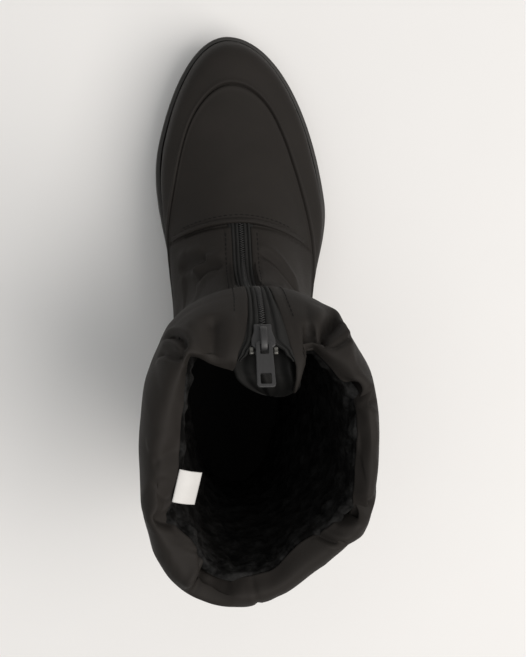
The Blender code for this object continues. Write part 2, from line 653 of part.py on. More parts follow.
def main():
    for thing in list(bpy.data.objects):
        bpy.data.objects.remove(thing)
    boot = bpy.data.objects.new("boot", None)
    bpy.context.scene.collection.objects.link(boot)
    materials = {
        "rubber": new_material("sole_rubber", (0.012, 0.012, 0.013), 0.6),
        "nylon": new_material("padded_nylon", (0.02, 0.02, 0.02), 0.55),
        "felt": new_material("insole_felt", (0.008, 0.008, 0.008), 0.95),
        "zip": new_material("zip_coil", (0.015, 0.015, 0.016), 0.4),
        "tape": new_material("zip_tape", (0.012, 0.012, 0.012), 0.8),
        "zip_hard": new_material("zip_lacquer", (0.04, 0.04, 0.042), 0.35, 0.6),
        "label": new_material("label_satin", (0.8, 0.8, 0.8), 0.6),
    }
    slider_level = ROW["collar_turn"] + 0.1
    build_upper(materials["nylon"], boot)
    build_outsole(materials["rubber"], boot)
    build_insole(materials["felt"], boot)
    build_vamp_edge(materials["nylon"], boot)
    build_zip_strips(materials, boot, slider_level)
    frame = slider_frame(slider_level)
    half_bridge, plate_top = build_slider(materials, boot, frame)
    build_pull_tab(materials, boot, frame, half_bridge, plate_top)
    build_top_stops(materials, boot, frame)
    build_label(materials["label"], boot)


main()
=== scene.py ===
"""Padded winter boot for the right foot: its looks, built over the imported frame.

Lengths are millimetres and become metres where a mesh is made. +X is the outer side of the foot, +Y the
toe and +Z up. Most pieces are functions of a level, which climbs through the rows of SECTIONS from the
sole to the collar's lip, and an angle round the boot, 0 at the front and growing to the outer side.
"""

import itertools
import math

import bmesh
import bpy
import numpy as np
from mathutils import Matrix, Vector


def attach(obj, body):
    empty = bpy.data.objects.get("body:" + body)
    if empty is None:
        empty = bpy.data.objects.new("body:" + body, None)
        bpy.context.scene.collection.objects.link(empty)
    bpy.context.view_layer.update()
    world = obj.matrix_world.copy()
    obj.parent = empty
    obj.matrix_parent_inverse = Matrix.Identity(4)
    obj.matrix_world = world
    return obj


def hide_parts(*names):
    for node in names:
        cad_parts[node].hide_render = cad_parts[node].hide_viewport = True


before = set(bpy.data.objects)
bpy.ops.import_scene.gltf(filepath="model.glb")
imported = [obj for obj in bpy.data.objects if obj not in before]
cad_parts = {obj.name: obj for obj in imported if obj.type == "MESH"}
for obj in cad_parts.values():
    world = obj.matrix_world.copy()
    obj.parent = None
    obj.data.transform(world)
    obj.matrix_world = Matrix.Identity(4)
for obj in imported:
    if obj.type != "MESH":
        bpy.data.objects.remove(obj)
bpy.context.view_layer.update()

MM = 0.001
ASIDE, UP = (1.0, 0.0, 0.0), (0.0, 0.0, 1.0)

# Rings of the upper: ends, heights, half widths on the inner and outer side, fullness and shift of the
# front, and how far the outer back corner is pressed in
SECTION_COLUMNS = (
    "front_y", "back_y", "front_z", "side_z", "back_z",
    "in_ball", "in_waist", "in_heel", "out_ball", "out_waist", "out_heel", "round", "shift", "press",
)
SECTIONS = {
    "feather":     (144.6, -132.6, 25.0, 16.5, 27.0, 48.0, 31.6, 38.4, 59.0, 47.6, 39.4, 2.0, -3.0, 0.0),
    "cup_top":     (144.4, -133.2, 34.5, 26.0, 37.0, 48.5, 32.4, 38.8, 59.2, 47.4, 39.8, 2.0, -3.0, 0.0),
    "side_bulge":  (143.8, -134.0, 41.0, 35.0, 47.0, 48.5, 34.0, 39.2, 58.7, 47.0, 40.2, 2.0, -3.0, 0.0),
    "toe_round":   (136.5, -134.4, 50.5, 44.5, 56.0, 47.4, 35.0, 39.2, 56.8, 46.8, 40.2, 2.0, -2.8, 0.0),
    "apron_seam":  (117.0, -134.4, 55.5, 51.5, 64.0, 44.0, 36.0, 38.6, 50.0, 45.6, 39.6, 2.0, -2.5, 0.0),
    "vamp":        (87.0, -133.8, 62.5, 60.5, 76.0, 40.0, 37.0, 38.0, 44.5, 43.6, 39.2, 2.0, -1.4, 0.0),
    "instep_low":  (57.0, -132.6, 72.0, 71.0, 89.0, 38.0, 37.8, 37.6, 41.5, 42.4, 38.6, 2.0, -0.3, 0.0),
    "instep_high": (31.0, -131.4, 83.5, 85.0, 103.0, 37.6, 38.6, 37.6, 40.0, 41.6, 38.6, 2.0, 0.5, 0.0),
    "ankle":       (8.5, -131.0, 99.5, 103.0, 119.0, 39.6, 40.6, 38.6, 40.4, 42.0, 39.2, 2.1, 0.4, 0.5),
    "shaft_low":   (-0.5, -133.0, 129.0, 134.0, 144.0, 45.4, 46.4, 43.4, 44.6, 46.0, 42.4, 2.2, 0.0, 3.0),
    "shaft_mid":   (0.0, -139.0, 164.0, 169.0, 174.0, 52.6, 53.0, 49.6, 50.0, 51.0, 46.6, 2.3, -0.8, 8.0),
    "collar_low":  (2.4, -145.6, 194.0, 202.0, 203.0, 57.8, 58.0, 54.0, 54.4, 55.0, 50.6, 2.4, -1.6, 12.0),
    "collar_out":  (-5.5, -148.65, 215.0, 221.0, 221.0, 58.6, 59.0, 55.0, 54.8, 55.6, 51.0, 2.4, -2.0, 13.5),
    "collar_turn": (-19.0, -147.4, 228.0, 234.0, 232.5, 55.8, 56.0, 52.0, 52.2, 53.0, 48.4, 2.4, -2.4, 13.5),
    "crest":       (-32.0, -141.0, 232.5, 239.5, 237.5, 49.6, 50.0, 46.0, 46.0, 47.0, 42.4, 2.4, -3.0, 12.5),
    "lip":         (-42.0, -133.0, 228.0, 234.0, 232.0, 41.0, 41.4, 37.4, 37.4, 38.4, 33.8, 2.4, -3.2, 11.0),
}
ROW = {name: index for index, name in enumerate(SECTIONS)}
# Where ball, waist, heel and side lie along a ring, as cosines of the angle; the fullness of its heel; the
# pressed corner's angle; and the thickness of the padded wall
BALL_INNER, BALL_OUTER, WAIST, HEEL, SIDE = 0.55, 0.30, -0.15, -0.70, 0.20
HEEL_ROUND = 2.6
PRESS = {"angle": 151.0, "spread": 26.0}
WALL = {
    "feather": 4.0, "instep_low": 4.6, "ankle": 5.6, "shaft_low": 7.0, "shaft_mid": 9.5, "collar_low": 14.0,
}

# How far the collar stands outside the plain rings, by angle: round its widest girth and at its mouth, how
# far the mouth moves to the outer side and down, and the share of each that a level takes
GIRTH = (
    (20, 0.0), (29, 1.6), (35, 5.2), (41, 2.0), (47, 1.0), (56, 1.6), (78, -1.1), (97, -3.4), (107, -2.2),
    (121, 0.1), (130, -1.6), (148, 1.1), (162, 0.0), (176, -1.3), (184, 0.6), (190, 0.2), (206, 0.9),
    (225, 3.4), (236, 3.8), (244, 2.0), (258, 0.3), (284, 0.2), (296, 1.0), (308, 0.0), (318, 1.7),
    (345, 0.0),
)
GIRTH_SHARE = ((10.0, 0.0), (11.8, 1.0), (13.0, 1.0), (14.0, 0.6), (15.0, 0.0))
MOUTH = (
    (0, -3.5), (6, -5.2), (17.6, -4.0), (19.8, 19.0), (23, 22.4), (35.5, 16.6), (48.5, 15.3), (60.5, 8.8),
    (81, 3.7), (101, 1.0), (110, -3.2), (114, -2.3), (166, -2.3), (182, -0.8), (191, -0.6), (216, 1.7),
    (238, 1.0), (251, 5.4), (257, 6.9), (262, 2.5), (282, 0.2), (293, 0.1), (305, 3.0), (317, 6.9),
    (325, 13.0), (333.5, 23.8), (339.5, 14.5), (344, 10.9), (351, 6.8), (357, -0.5),
)
MOUTH_SIDE = ((8, 0.0), (14, 3.0), (17.4, 3.5), (19.8, -3.5), (24, -4.0), (34, -1.5), (46, 0.0), (350, 0.0))
MOUTH_DROP = ((16.2, 0.0), (18.4, 11.0), (21, 10.0), (25, 5.0), (34, 2.0), (50, 0.0), (355, 0.0))
MOUTH_SHARE = ((11.5, 0.0), (13.0, 0.28), (14.0, 0.62), (15.0, 1.0))
COLLAR_BLUR, SEAM_BLUR = 1.2, 10.0

# Lining: where it is tucked under the flap at the front, by angle, and how far out and down; how its first
# rings lie outside and below the collar's lip; the levels down its wall; its sheet; and the pile's curls and
# swells, each as height, spacing and seed of a noise
LINING_TUCK = ((14, 1.0), (19, 0.0), (328, 0.0), (335, 1.0))
TUCK_OUT, TUCK_DOWN = 8.0, 9.5
LINING_HEAD = ((3.0, 1.6), (-0.4, 1.4), (-0.9, 5.0))
LINING_LEVELS = (11.0, 10.0, 9.0, 8.0, 7.0, 6.0, 5.0, 4.0, 3.0, 2.0, 1.0, 0.45)
LINING = {"columns": 300, "head_rows": 70, "wall_rows": 170, "back_rows": 48, "lip_share": 0.45, "sheet": 1.2}
PILE_FROM = (0.3, 2.6)
PILE_CURLS = ((2.6, 6.5, 11), (1.1, 3.0, 12))
PILE_SWELL = (1.0, 15.0, 13)

# Creases of the cloth: (level, angle) places along the line, depth, half width, height of the swell on both
# sides, and how far the left side of the line stands over its right side
CREASES = {
    "instep_inner_low": (((5.7, 294), (6.5, 309), (6.98, 321), (7.2, 330)), 4.6, 2.5, 1.6, 1.4),
    "instep_inner_high": (((7.25, 312), (7.38, 324), (7.55, 334), (7.78, 346)), 4.6, 2.2, 1.6, 1.4),
    "instep_inner_hollow": (((6.5, 297), (6.95, 307), (7.25, 317)), 1.8, 8.0, 0.3, 0.0),
    "instep_inner_top": (((7.9, 317), (8.28, 329.5), (8.75, 343)), 1.2, 4.6, 0.5, 0.0),
    "instep_outer": (
        ((7.52, 11), (7.42, 20), (7.36, 30), (7.29, 40), (7.15, 49), (6.85, 61)), 4.4, 1.8, 0.9, 1.2),
    "instep_outer_low": (((8.7, 8), (8.25, 19), (7.75, 37)), 1.2, 2.6, 0.5, 0.0),
    "front_inner_lump": (
        ((11.4, 314), (11.9, 321), (12.4, 326.5), (12.9, 330), (13.8, 332.5)), 3.0, 1.3, 1.2, 0.0),
    "front_inner_notch": (((11.7, 309), (12.7, 321.5), (13.9, 332)), 2.2, 1.4, 1.0, 0.0),
    "front_inner_soft": (((12.1, 343), (13.1, 342.5), (14.8, 341)), 4.6, 3.4, 1.0, 0.0),
    "front_outer_fold": (
        ((11.1, 34), (11.75, 30.2), (12.35, 26.6), (12.85, 23.7), (13.35, 22.2), (14.0, 21.2)),
        14.0, 2.2, 0.3, -3.0),
    "front_outer_slit": (((12.3, 17.8), (12.8, 18.0), (13.3, 18.4), (14.0, 19.0)), 7.0, 1.6, 0.2, 0.0),
    "outer_front_line": (((12.0, 41), (12.8, 32.5), (13.6, 26.5)), 1.6, 1.0, 0.6, 0.0),
    "outer_crease": (((15.3, 41), (14.7, 44.5), (14.1, 48.5), (12.4, 64)), 11.0, 2.3, 1.2, 0.0),
    "outer_soft": (((15.2, 64.5), (14.4, 66), (13.2, 72)), 1.6, 5.0, 0.8, 0.0),
    "outer_back_dark": (
        ((15.7, 114), (15.0, 110), (14.4, 105.5), (13.7, 104.5), (13.0, 105)), 13.0, 2.5, 1.2, 0.0),
    "back_outer_line": (((15.2, 137), (14.5, 133.5), (13.3, 128.5)), 2.4, 1.1, 0.6, 0.0),
    "back_seam": (
        ((15.3, 187), (14.5, 184.5), (13.1, 181.6), (11.0, 181), (8.0, 180.5), (4.2, 180)),
        0.7, 0.9, 0.2, 0.0),
    "back_soft": (((15.2, 200.5), (14.5, 199), (13.5, 197)), 0.8, 2.4, 0.3, 0.0),
    "back_inner_fold": (
        ((15.4, 218.5), (15.0, 217), (14.5, 215.5), (14.0, 215), (13.0, 213)), 8.0, 1.6, 0.6, -6.0),
    "back_inner_hollow": (((16.2, 210), (14.6, 207.5), (13.0, 206)), 8.0, 5.0, 0.2, 0.0),
    "inner_roll_end": (
        ((15.3, 236), (15.0, 230), (14.7, 223), (14.3, 217.5), (13.3, 213)), 0.8, 1.2, 0.4, -2.2),
    "inner_notch": (((15.2, 251), (14.8, 253), (14.5, 255), (13.9, 258)), 2.8, 1.8, 0.6, 0.0),
    "inner_dent": (((15.0, 261), (14.3, 267), (13.5, 273)), 2.6, 4.0, 0.8, 0.0),
    "inner_soft": (((13.4, 278), (14.2, 286), (15.2, 295)), 1.4, 3.0, 0.8, 0.0),
    "ankle_outer_high": (((8.9, 35), (8.3, 60), (7.9, 90), (7.9, 120), (8.2, 150)), 3.4, 5.5, 1.8, 0.0),
    "ankle_outer_low": (((7.4, 62), (6.9, 85), (6.7, 112), (6.9, 140)), 2.6, 4.5, 1.4, 0.0),
    "shaft_outer": (((10.0, 58), (9.5, 92), (9.3, 132)), 2.4, 6.5, 1.2, 0.0),
    "ankle_inner_high": (((8.8, 322), (8.2, 300), (7.8, 272), (7.7, 245), (8.0, 212)), 3.4, 5.5, 1.8, 0.0),
    "ankle_inner_low": (((7.2, 296), (6.8, 275), (6.6, 250), (6.8, 222)), 2.6, 4.5, 1.4, 0.0),
    "shaft_inner": (((9.9, 300), (9.4, 265), (9.3, 232)), 2.4, 6.5, 1.2, 0.0),
}
# Form of every crease: how soft its bottom is, in half widths where its swells stand and how far its step and
# the whole reach, the share of its length over which it fades, and by level the share of the wall it may cut
CREASE_FORM = {
    "least_soft": 0.3, "sharp_half": 3.0, "swell_at": 2.6, "swell_half": 1.3, "step_reach": 3, "reach": 6,
    "fade": 0.22, "steps": 8,
}
DEEPEST_CREASE = ((9.5, 0.55), (11.0, 0.8))

# Shell: its grid, the unevenness of its cloth as height, spacing and seed of two noises, how far creases stay
# from the opening, its inner face, and the share of a closed row over which its ends spread out to meet
SHELL = {
    "columns": 334, "lip_columns": 7, "opens_in": 0.04, "clear": 5.0, "inner_share": 0.62, "inner_over": 2.5,
}
SHELL_RUNS = (
    (0.0, 1.0, 5), (1.0, 3.5, 30), (3.5, 3.9, 10), (3.9, 4.55, 42), (4.55, 6.2, 32), (6.2, 8.0, 40),
    (8.0, 10.8, 34), (10.8, 13.0, 32), (13.0, 15.0, 30),
)
CLOTH_NOISE = ((0.35, 24.0, 3), (0.12, 9.0, 5))
CLOSED_SPREAD = 0.012

# Panels of the upper: step of the band round the foot, its seam, and the raised rear edge of the toe panel
BAND = {"step": 0.9, "edge": 0.4, "groove": 3.0, "groove_half": 0.5, "swell": 0.35, "swell_half": 2.0}
SEAM_RISE = ((0, 0.0), (30, 0.0), (46, 0.26), (60, 0.26), (80, 0.0), (280, 0.0), (301, 0.4), (320, 0.0))
VAMP_EDGE = {
    "y": 35.4, "inner": -38.5, "outer": 41.0, "bow": 0.0075, "width": 2.5, "height": 1.9, "lift": 0.7,
    "run": 14.0, "groove_at": 1.9, "behind": 2.4, "behind_half": 0.8, "before": 0.8, "before_half": 0.7,
}
VAMP_AREA = {"from": (4.0, 4.4), "to": 10.0, "back_y": -20.0}
VAMP_EDGE_SHARE = ((-38.5, 0.2), (-30, 0.9), (-22, 1.0), (8, 1.0), (19, 0.5), (41, 0.15))

# Front opening, from its lower end up, and the rolled lips beside the zip
THROAT_Y = 36.3
OPENING = {
    "inner": ((7.0, 5.6), (11.6, 5.6), (12.3, 6.4), (13.0, 8.2), (13.7, 10.8), (15.0, 11.2)),
    "outer": ((7.0, 5.6), (10.8, 5.6), (11.6, 7.0), (12.3, 9.4), (13.0, 12.0), (13.7, 14.4), (15.0, 14.0)),
}
LIP_RADIUS, LIP_TURN = 0.8, 215.0
LIP_SEAM = {"from_edge": 4.4, "depth": 0.25, "half": 0.55, "swell": 0.12, "swell_at": 1.8, "swell_half": 1.2}

# Stitches, and their rows: beside the zip by column and level, and ahead of the toe panel's rear edge
STITCH = {"length": 2.3, "gap": 0.9, "radius": 0.24}
ZIP_ROWS = {"columns": (4, -5), "above_throat": 0.15, "top": 12.4}
VAMP_ROW = {"half_span": 33.0, "ahead": 3.4, "lift_share": 0.78}

# Sole and insole
SOLE_OUTLINE = (148.0, -136.0, 25.0, 16.5, 27.0, 51.5, 35.0, 42.0, 62.7, 52.0, 43.0, 2.0, -3.0, 0.0)
CUP_WALL, GROOVE_SHARE, BED_DROP = 9.0, 0.52, 0.3
ARCH = {"back": -62.0, "front": -4.0, "rise": 6.0}
TOE_SPRING = {"start": 74.0, "rise": 13.0}
TREAD = {"depth": 4.2, "width": 5.0, "pitch": 13.0, "round": 0.5, "sweep": 7.0, "straight": (96.0, 134.0),
         "half_span": 75.0}
TREAD_RUNS = ((-124.0, -72.0), (6.0, 124.0))
# Profile of the sole's side, from the ground over the rim into the cup: steps outwards, what each height is
# measured from, and the height
SOLE_PROFILE = (
    (-1.7, "ground", 0.0), (-0.8, "ground", 0.22), (-0.25, "ground", 0.75), (0.0, "ground", 1.7),
    (0.15, "groove", -3.0), (0.0, "groove", -1.9), (-0.35, "groove", -1.35), (-1.3, "groove", -0.95),
    (-1.3, "groove", 0.95), (-0.35, "groove", 1.35), (0.0, "groove", 1.9), (0.2, "groove", 3.0),
    (0.2, "rim", -1.9), (0.0, "rim", -1.0), (-0.35, "rim", -0.35), (-1.0, "rim", 0.0), (-2.1, "rim", 0.0),
    (-2.45, "rim", -0.4), (-3.3, "bed", 0.0),
)
INSOLE = {"level": 0.4, "ends": 0.05, "under": 0.1}
INSOLE_CROWN = (
    (0.0, 3.0), (0.015, 3.8), (0.05, 4.2), (0.15, 4.5), (0.3, 4.7), (0.5, 4.8), (0.7, 4.7), (0.85, 4.5),
    (0.95, 4.2), (0.985, 3.8), (1.0, 3.0),
)

# Zip: where it starts above the throat, and the level of its slider; its coils; and its tapes, with the
# levels past the slider over which they part and are tucked away
ZIP_FOOT, SLIDER_LEVEL = 0.02, 13.1
CHAIN = {"wire": 0.42, "pitch": 1.5, "steps": 12, "reach": 0.72, "overlap": 0.1, "height": 0.55, "out": -0.75}
TAPE = {
    "near": 1.35, "over": 1.6, "out": -0.45, "under": -1.4, "top": 13.85, "rows": 170, "level_length": 28.0,
    "parted": 3.4, "parts": (-0.1, 0.4), "tucked": 0.4, "tucks": (0.45, 0.75),
}
TAPE_PROFILE = (
    (0.0, -0.75), (0.02, -0.2), (0.06, 0.4), (0.16, 0.55), (0.26, 0.4), (0.32, -0.2), (0.36, -0.75),
    (0.4, -0.75), (0.44, -0.2), (0.48, 0.35), (0.56, 0.5), (0.64, 0.35), (0.69, -0.2), (0.74, -0.75),
    (0.8, -0.75), (1.0, -0.75),
)
# Gusset: levels of its top, its end and the start of its rounding, how far it lies behind the front, how it
# moves at the mouth, falls and droops inside, and its pleats as waves of a height, a pace and a start
GUSSET = {
    "top": 14.2, "end": 15.0, "rounds_from": 14.3, "behind": 5.0, "over": 2.4, "lean": 4.4,
    "leans_from": 13.7, "loose": (12.6, 14.2), "thick": 0.8, "level_length": 20.0,
}
GUSSET_MOUTH, GUSSET_FALL, GUSSET_DROOP = (np.array(move) for move in (
    (0.0, -3.6, -7.6), (0.0, -12.0, -0.5), (0.0, 1.2, -8.0)))
PLEATS = ((0.8, 7.5, 0.9), (0.4, 15.0, 1.6))
PLEAT_EDGE, PLEAT_TILT = 1.0, 2.6
# Slider, pull tab and stops, in the slider's own axes: aside, up the zip and outwards. A plate is its lower
# face, its upper face and the radius of its rims; the radius of the corners in plan is in CORNERS
SLIDER_PLAN = {
    "middle": -0.65, "half_long": 6.85, "half_wide": 4.2, "shoulder": 1.5, "shoulders": (-5.0, 1.5),
    "neck": 1.7, "necks": (3.0, 5.0), "square_from": -6.8, "square": 0.72, "square_in": 0.14,
    "round_from": 4.6, "round": 1.62, "round_in": 0.64,
}
SLIDER_PLATES = ((-0.3, 1.5, 0.75), (-4.4, -3.7, 0.3))
SLIDER_POST = ((-1.0, 3.0), (1.0, 3.0), (1.0, 5.5), (-1.0, 5.5))
POST_PLATE, TAB_PLATE, HOLE_PLATE = (-4.0, 0.2, 0.2), (-0.7, 0.7, 0.35), (-2.0, 2.0, 0.1)
CORNERS = {"post": 0.4, "tab": 1.6, "hole": 0.6}
BRIDGE = {
    "middle": 0.4, "half_long": 5.6, "foot": 1.0, "rise": 3.8, "square": 0.55,
    "half_thick": 0.62, "half_wide": 1.6,
}
RAIL = {
    "from": -6.4, "to": 3.0, "out": -0.75, "aside": 3.2, "flare": 2.0, "flares": (-6.0, 0.0),
    "half_wide": 0.42, "half_high": 0.6,
}
TAB_PLAN = ((-3.8, -0.7), (3.8, -0.7), (4.4, 22.2), (-4.4, 22.2))
TAB_HOLES = {
    "pull_slot": ((-2.05, 0.55), (2.05, 0.55), (2.05, 5.9), (-2.05, 5.9)),
    "pull_window": ((-2.6, 15.4), (2.6, 15.4), (2.6, 20.7), (-2.6, 20.7)),
}
TAB_PIVOT = np.array([0.0, 2.9, 2.7])
STOP = {
    "aside": 5.6, "middle": 5.7, "from": 3.9, "to": 7.5, "out": -0.1, "half_wide": 1.2, "half_high": 1.0,
    "waist": 0.14, "waist_half": 0.7, "ends": (1.45, 1.8), "end_in": 0.45,
}

# Label: its sewn corners, how far it reaches inwards, and how it swells, droops and waves
LABEL_FRONT, LABEL_BACK = np.array([-41.6, -79.0, 234.8]), np.array([-45.2, -94.1, 235.2])
LABEL_REACH, LABEL_SIZE = np.array([10.6, -2.7, 0.0]), np.array([15.0, 10.8])
LABEL = {
    "swell": 0.6, "droop": 4.6, "curve": 1.6, "wave": 0.5, "pace": 3.2, "start": 1.0,
    "thick": 0.35, "hem": 0.25, "hem_half": 0.05,
}

# Studio, in metres: lights as place, size, power and colour, all turned to one point, and the camera
LIGHTS = {
    "key_outer": ((0.98, -0.32, 1.72), 1.6, 30.0, "#fff9f3"),
    "top_soft": ((-0.1, 0.1, 2.2), 2.0, 13.5, "#ffffff"),
}
LIGHT_AIM = Vector((0.0, 0.0, 0.1))
SURROUND = {"colour": "#f4f3f0", "strength": 0.36}
FLOOR_HALF = 3
CAMERA = {
    "place": (-0.0625, 0.0308, 0.780), "gaze": (0.1089, -0.0833, -1.0),
    "lens": 65.9, "sensor": 36.0, "near": 0.01,
}

# Cells after which a noise repeats, and small steps for slopes, in levels or radians
LATTICE, NUDGE, FINE_NUDGE = 64, 1e-3, 1e-4


# Small mathematics

def smoothstep(low, high, value):
    """Rise from 0 at low to 1 at high along a cubic that is level at both ends."""
    t = np.clip((value - low) / (high - low), 0.0, 1.0)
    return t * t * (3.0 - 2.0 * t)


def unit(vectors):
    """Vectors divided by their lengths."""
    return vectors / np.linalg.norm(vectors, axis=-1, keepdims=True)


def bell(distance, half_width):
    """Exponential of minus the square of the distance in half widths: 1 on the line, fading to both sides."""
    return np.exp(-((distance / half_width) ** 2))


def catmull_rom(rows, place):
    """Values at fractional row numbers, on the Catmull-Rom curve through the rows of an array."""
    rows = np.asarray(rows, float)
    padded = np.concatenate([2 * rows[:1] - rows[1:2], rows, 2 * rows[-1:] - rows[-2:-1]])
    place = np.asarray(place, float)
    index = np.clip(np.floor(place).astype(int), 0, len(rows) - 2)
    t = (place - index).reshape(place.shape + (1,) * (rows.ndim - 1))
    a, b, c, d = (padded[index + k] for k in range(4))
    return 0.5 * (2 * b + (c - a) * t + (2 * a - 5 * b + 4 * c - d) * t**2 + (3 * b - a - 3 * c + d) * t**3)


def soft_noise(points, size, seed):
    """Smooth random field from -1 to 1.

    Random values on a lattice of the given spacing, blended between its corners.
    """
    lattice = np.random.default_rng(seed).uniform(-1.0, 1.0, (LATTICE,) * 3)
    cell = points / size
    low = np.floor(cell).astype(int)
    t = smoothstep(0.0, 1.0, cell - low)
    total = np.zeros(points.shape[:-1])
    for corner in itertools.product((0, 1), repeat=3):
        corner = np.array(corner)
        weight = np.where(corner == 1, t, 1.0 - t).prod(axis=-1)
        total += weight * lattice[tuple(np.moveaxis((low + corner) % LATTICE, -1, 0))]
    return total


def table_value(table, value):
    """Straight lines between the rows of a table of pairs."""
    return np.interp(value, *np.array(table, float).T)


def run_along(path):
    """Length of a path from its start to each of its points."""
    return np.concatenate([[0.0], np.cumsum(np.linalg.norm(np.diff(path, axis=0), axis=-1))])


# The upper's skin

def section_values(level):
    """Measures of the ring at each level, by name, on a smooth curve through the rows of SECTIONS."""
    return dict(zip(SECTION_COLUMNS, np.moveaxis(catmull_rom(list(SECTIONS.values()), level), -1, 0)))


def half_width(cosine, ball_at, ball, waist, heel):
    """Half width along a ring: smooth steps from the heel to the waist and from there to the ball."""
    to_waist = smoothstep(HEEL, WAIST, cosine)
    return heel + (waist - heel) * to_waist + (ball - waist) * smoothstep(WAIST, ball_at, cosine)


def ring_points(row, angle):
    """A ring's points: an oval with its own half widths inside and outside, and a parabola for its height."""
    cosine = np.cos(angle)
    fullness = np.where(cosine > 0, row["round"], HEEL_ROUND)
    profile = np.clip(1.0 - np.abs(cosine) ** fullness, 0.0, None) ** (1.0 / fullness)
    outer = half_width(cosine, BALL_OUTER, row["out_ball"], row["out_waist"], row["out_heel"])
    inner = half_width(cosine, BALL_INNER, row["in_ball"], row["in_waist"], row["in_heel"])
    x = np.where(np.sin(angle) >= 0, outer, -inner) * profile + row["shift"] * ((1 + cosine) / 2) ** 2
    y = (row["front_y"] + row["back_y"]) / 2 + (row["front_y"] - row["back_y"]) / 2 * cosine
    pressed = row["press"] * bell(np.degrees(angle) % 360.0 - PRESS["angle"], PRESS["spread"])
    x = x - pressed * math.sin(math.radians(PRESS["angle"]))
    y = y - pressed * math.cos(math.radians(PRESS["angle"]))
    z = (
        row["front_z"] * (cosine - SIDE) * (cosine + 1) / ((1 - SIDE) * 2)
        + row["side_z"] * (cosine - 1) * (cosine + 1) / ((SIDE - 1) * (SIDE + 1))
        + row["back_z"] * (cosine - 1) * (cosine - SIDE) / (2 * (1 + SIDE))
    )
    return np.stack(np.broadcast_arrays(x, y, z), axis=-1)


def rings(levels, angles):
    """Plain skin on a grid: one ring for each level, at that ring's row of angles."""
    row = {name: column[:, None] for name, column in section_values(levels).items()}
    return ring_points(row, angles)


def grid_normals(points):
    """Outward unit normals of a grid of rings: the product of its two directions."""
    return unit(np.cross(np.gradient(points, axis=0), np.gradient(points, axis=1)))


def plan_outward(along):
    """Outward unit vectors in plan, square to the way round the boot."""
    return unit(np.stack([-along[..., 1], along[..., 0], np.zeros(along.shape[:-1])], axis=-1))


def plan_normals(points):
    """Outward unit normals in plan of a grid of rings."""
    return plan_outward(np.gradient(points, axis=1))


def edge_angle(row, ball, half):
    """Angle where a ring is half a given width away from the middle of its front."""
    return np.arccos((1.0 - (half / row[ball]) ** row["round"]) ** (1.0 / row["round"]))


def blurred(table, blur, angles):
    """A table of (angle, value) as a line round the boot, straight between its rows, blurred by a bell."""
    grid = np.arange(0.0, 360.0, 0.5)
    weight = bell(np.minimum(grid, 360.0 - grid), blur)
    line = np.interp(grid, *np.array(table, float).T, period=360.0)
    line = np.fft.irfft(np.fft.rfft(line) * np.fft.rfft(weight / weight.sum()), n=len(grid))
    return np.interp(np.degrees(angles), grid, line, period=360.0)


def collar_move(levels, angles, outward):
    """How far the collar stands from the plain rings: each table's line, times the share of the level."""
    girth, mouth = (table_value(share, levels) for share in (GIRTH_SHARE, MOUTH_SHARE))
    out = girth * blurred(GIRTH, COLLAR_BLUR, angles) + mouth * blurred(MOUTH, COLLAR_BLUR, angles)
    aside, down = (mouth * blurred(table, COLLAR_BLUR, angles) for table in (MOUTH_SIDE, MOUTH_DROP))
    return outward * out[..., None] + np.stack([aside, 0 * aside, -down], axis=-1)


def collar_form(levels, angles):
    """Skin with the collar's own girth and mouth, before panels and creases."""
    plain = rings(levels, angles)
    return plain + collar_move(levels[:, None], angles, plan_normals(plain))


def wall_at(levels):
    """Thickness of the padded wall."""
    return np.interp(levels, [ROW[name] for name in WALL], list(WALL.values()))


def lining_form(levels, angles, share=1.0):
    """Lining side of the wall: the plain skin moved in by a share of the wall's thickness."""
    plain, normals = skin_at(levels[:, None], angles)
    return plain - normals * (wall_at(levels) * share)[:, None, None]


def front_line(levels):
    """Middle of the front on the plain skin, with its tangent up the zip and its outward normal."""
    points = ring_points(section_values(levels), np.zeros_like(levels))
    tangents = unit(np.gradient(points, levels, axis=0))
    return points, tangents, unit(np.cross(tangents, ASIDE))


def skin_place(x, y, first_level=6.8, first_reach=40.0, steps=40, most_level=0.4, most_angle=0.2):
    """Level and angle of the skin over places in plan on the vamp, by Newton steps on whole arrays."""
    level = np.full(np.shape(x), first_level)
    angle = np.arctan2(x, first_reach)
    for _ in range(steps):
        here, by_level, by_angle = skin_slopes(level, angle)
        by_level, by_angle = by_level / NUDGE, by_angle / NUDGE
        miss_x, miss_y = x - here[..., 0], y - here[..., 1]
        area = by_level[..., 0] * by_angle[..., 1] - by_angle[..., 0] * by_level[..., 1]
        more_level = (miss_x * by_angle[..., 1] - by_angle[..., 0] * miss_y) / area
        more_angle = (by_level[..., 0] * miss_y - miss_x * by_level[..., 1]) / area
        level = level + np.clip(more_level, -most_level, most_level)
        angle = angle + np.clip(more_angle, -most_angle, most_angle)
    return level, angle


def skin_slopes(level, angle):
    """Points of the plain skin, and how they move with a small step of the level and of the angle."""
    here = ring_points(section_values(level), angle)
    by_level = ring_points(section_values(level + NUDGE), angle) - here
    return here, by_level, ring_points(section_values(level), angle + NUDGE) - here


def skin_at(level, angle):
    """Points and normals of the plain skin at paired levels and angles."""
    here, by_level, by_angle = skin_slopes(level, angle)
    return here, unit(np.cross(by_level, by_angle))


# Meshes

def grid_faces(rows, columns, wrap_rows=False, wrap_columns=False):
    """Quads between neighbouring points of a grid, as corner numbers."""
    r = np.arange(rows if wrap_rows else rows - 1)[:, None]
    c = np.arange(columns if wrap_columns else columns - 1)[None, :]
    far_r, far_c = (r + 1) % rows, (c + 1) % columns
    corners = (r * columns + c, r * columns + far_c, far_r * columns + far_c, far_r * columns + c)
    return np.stack(np.broadcast_arrays(*corners), axis=-1).reshape(-1, 4)


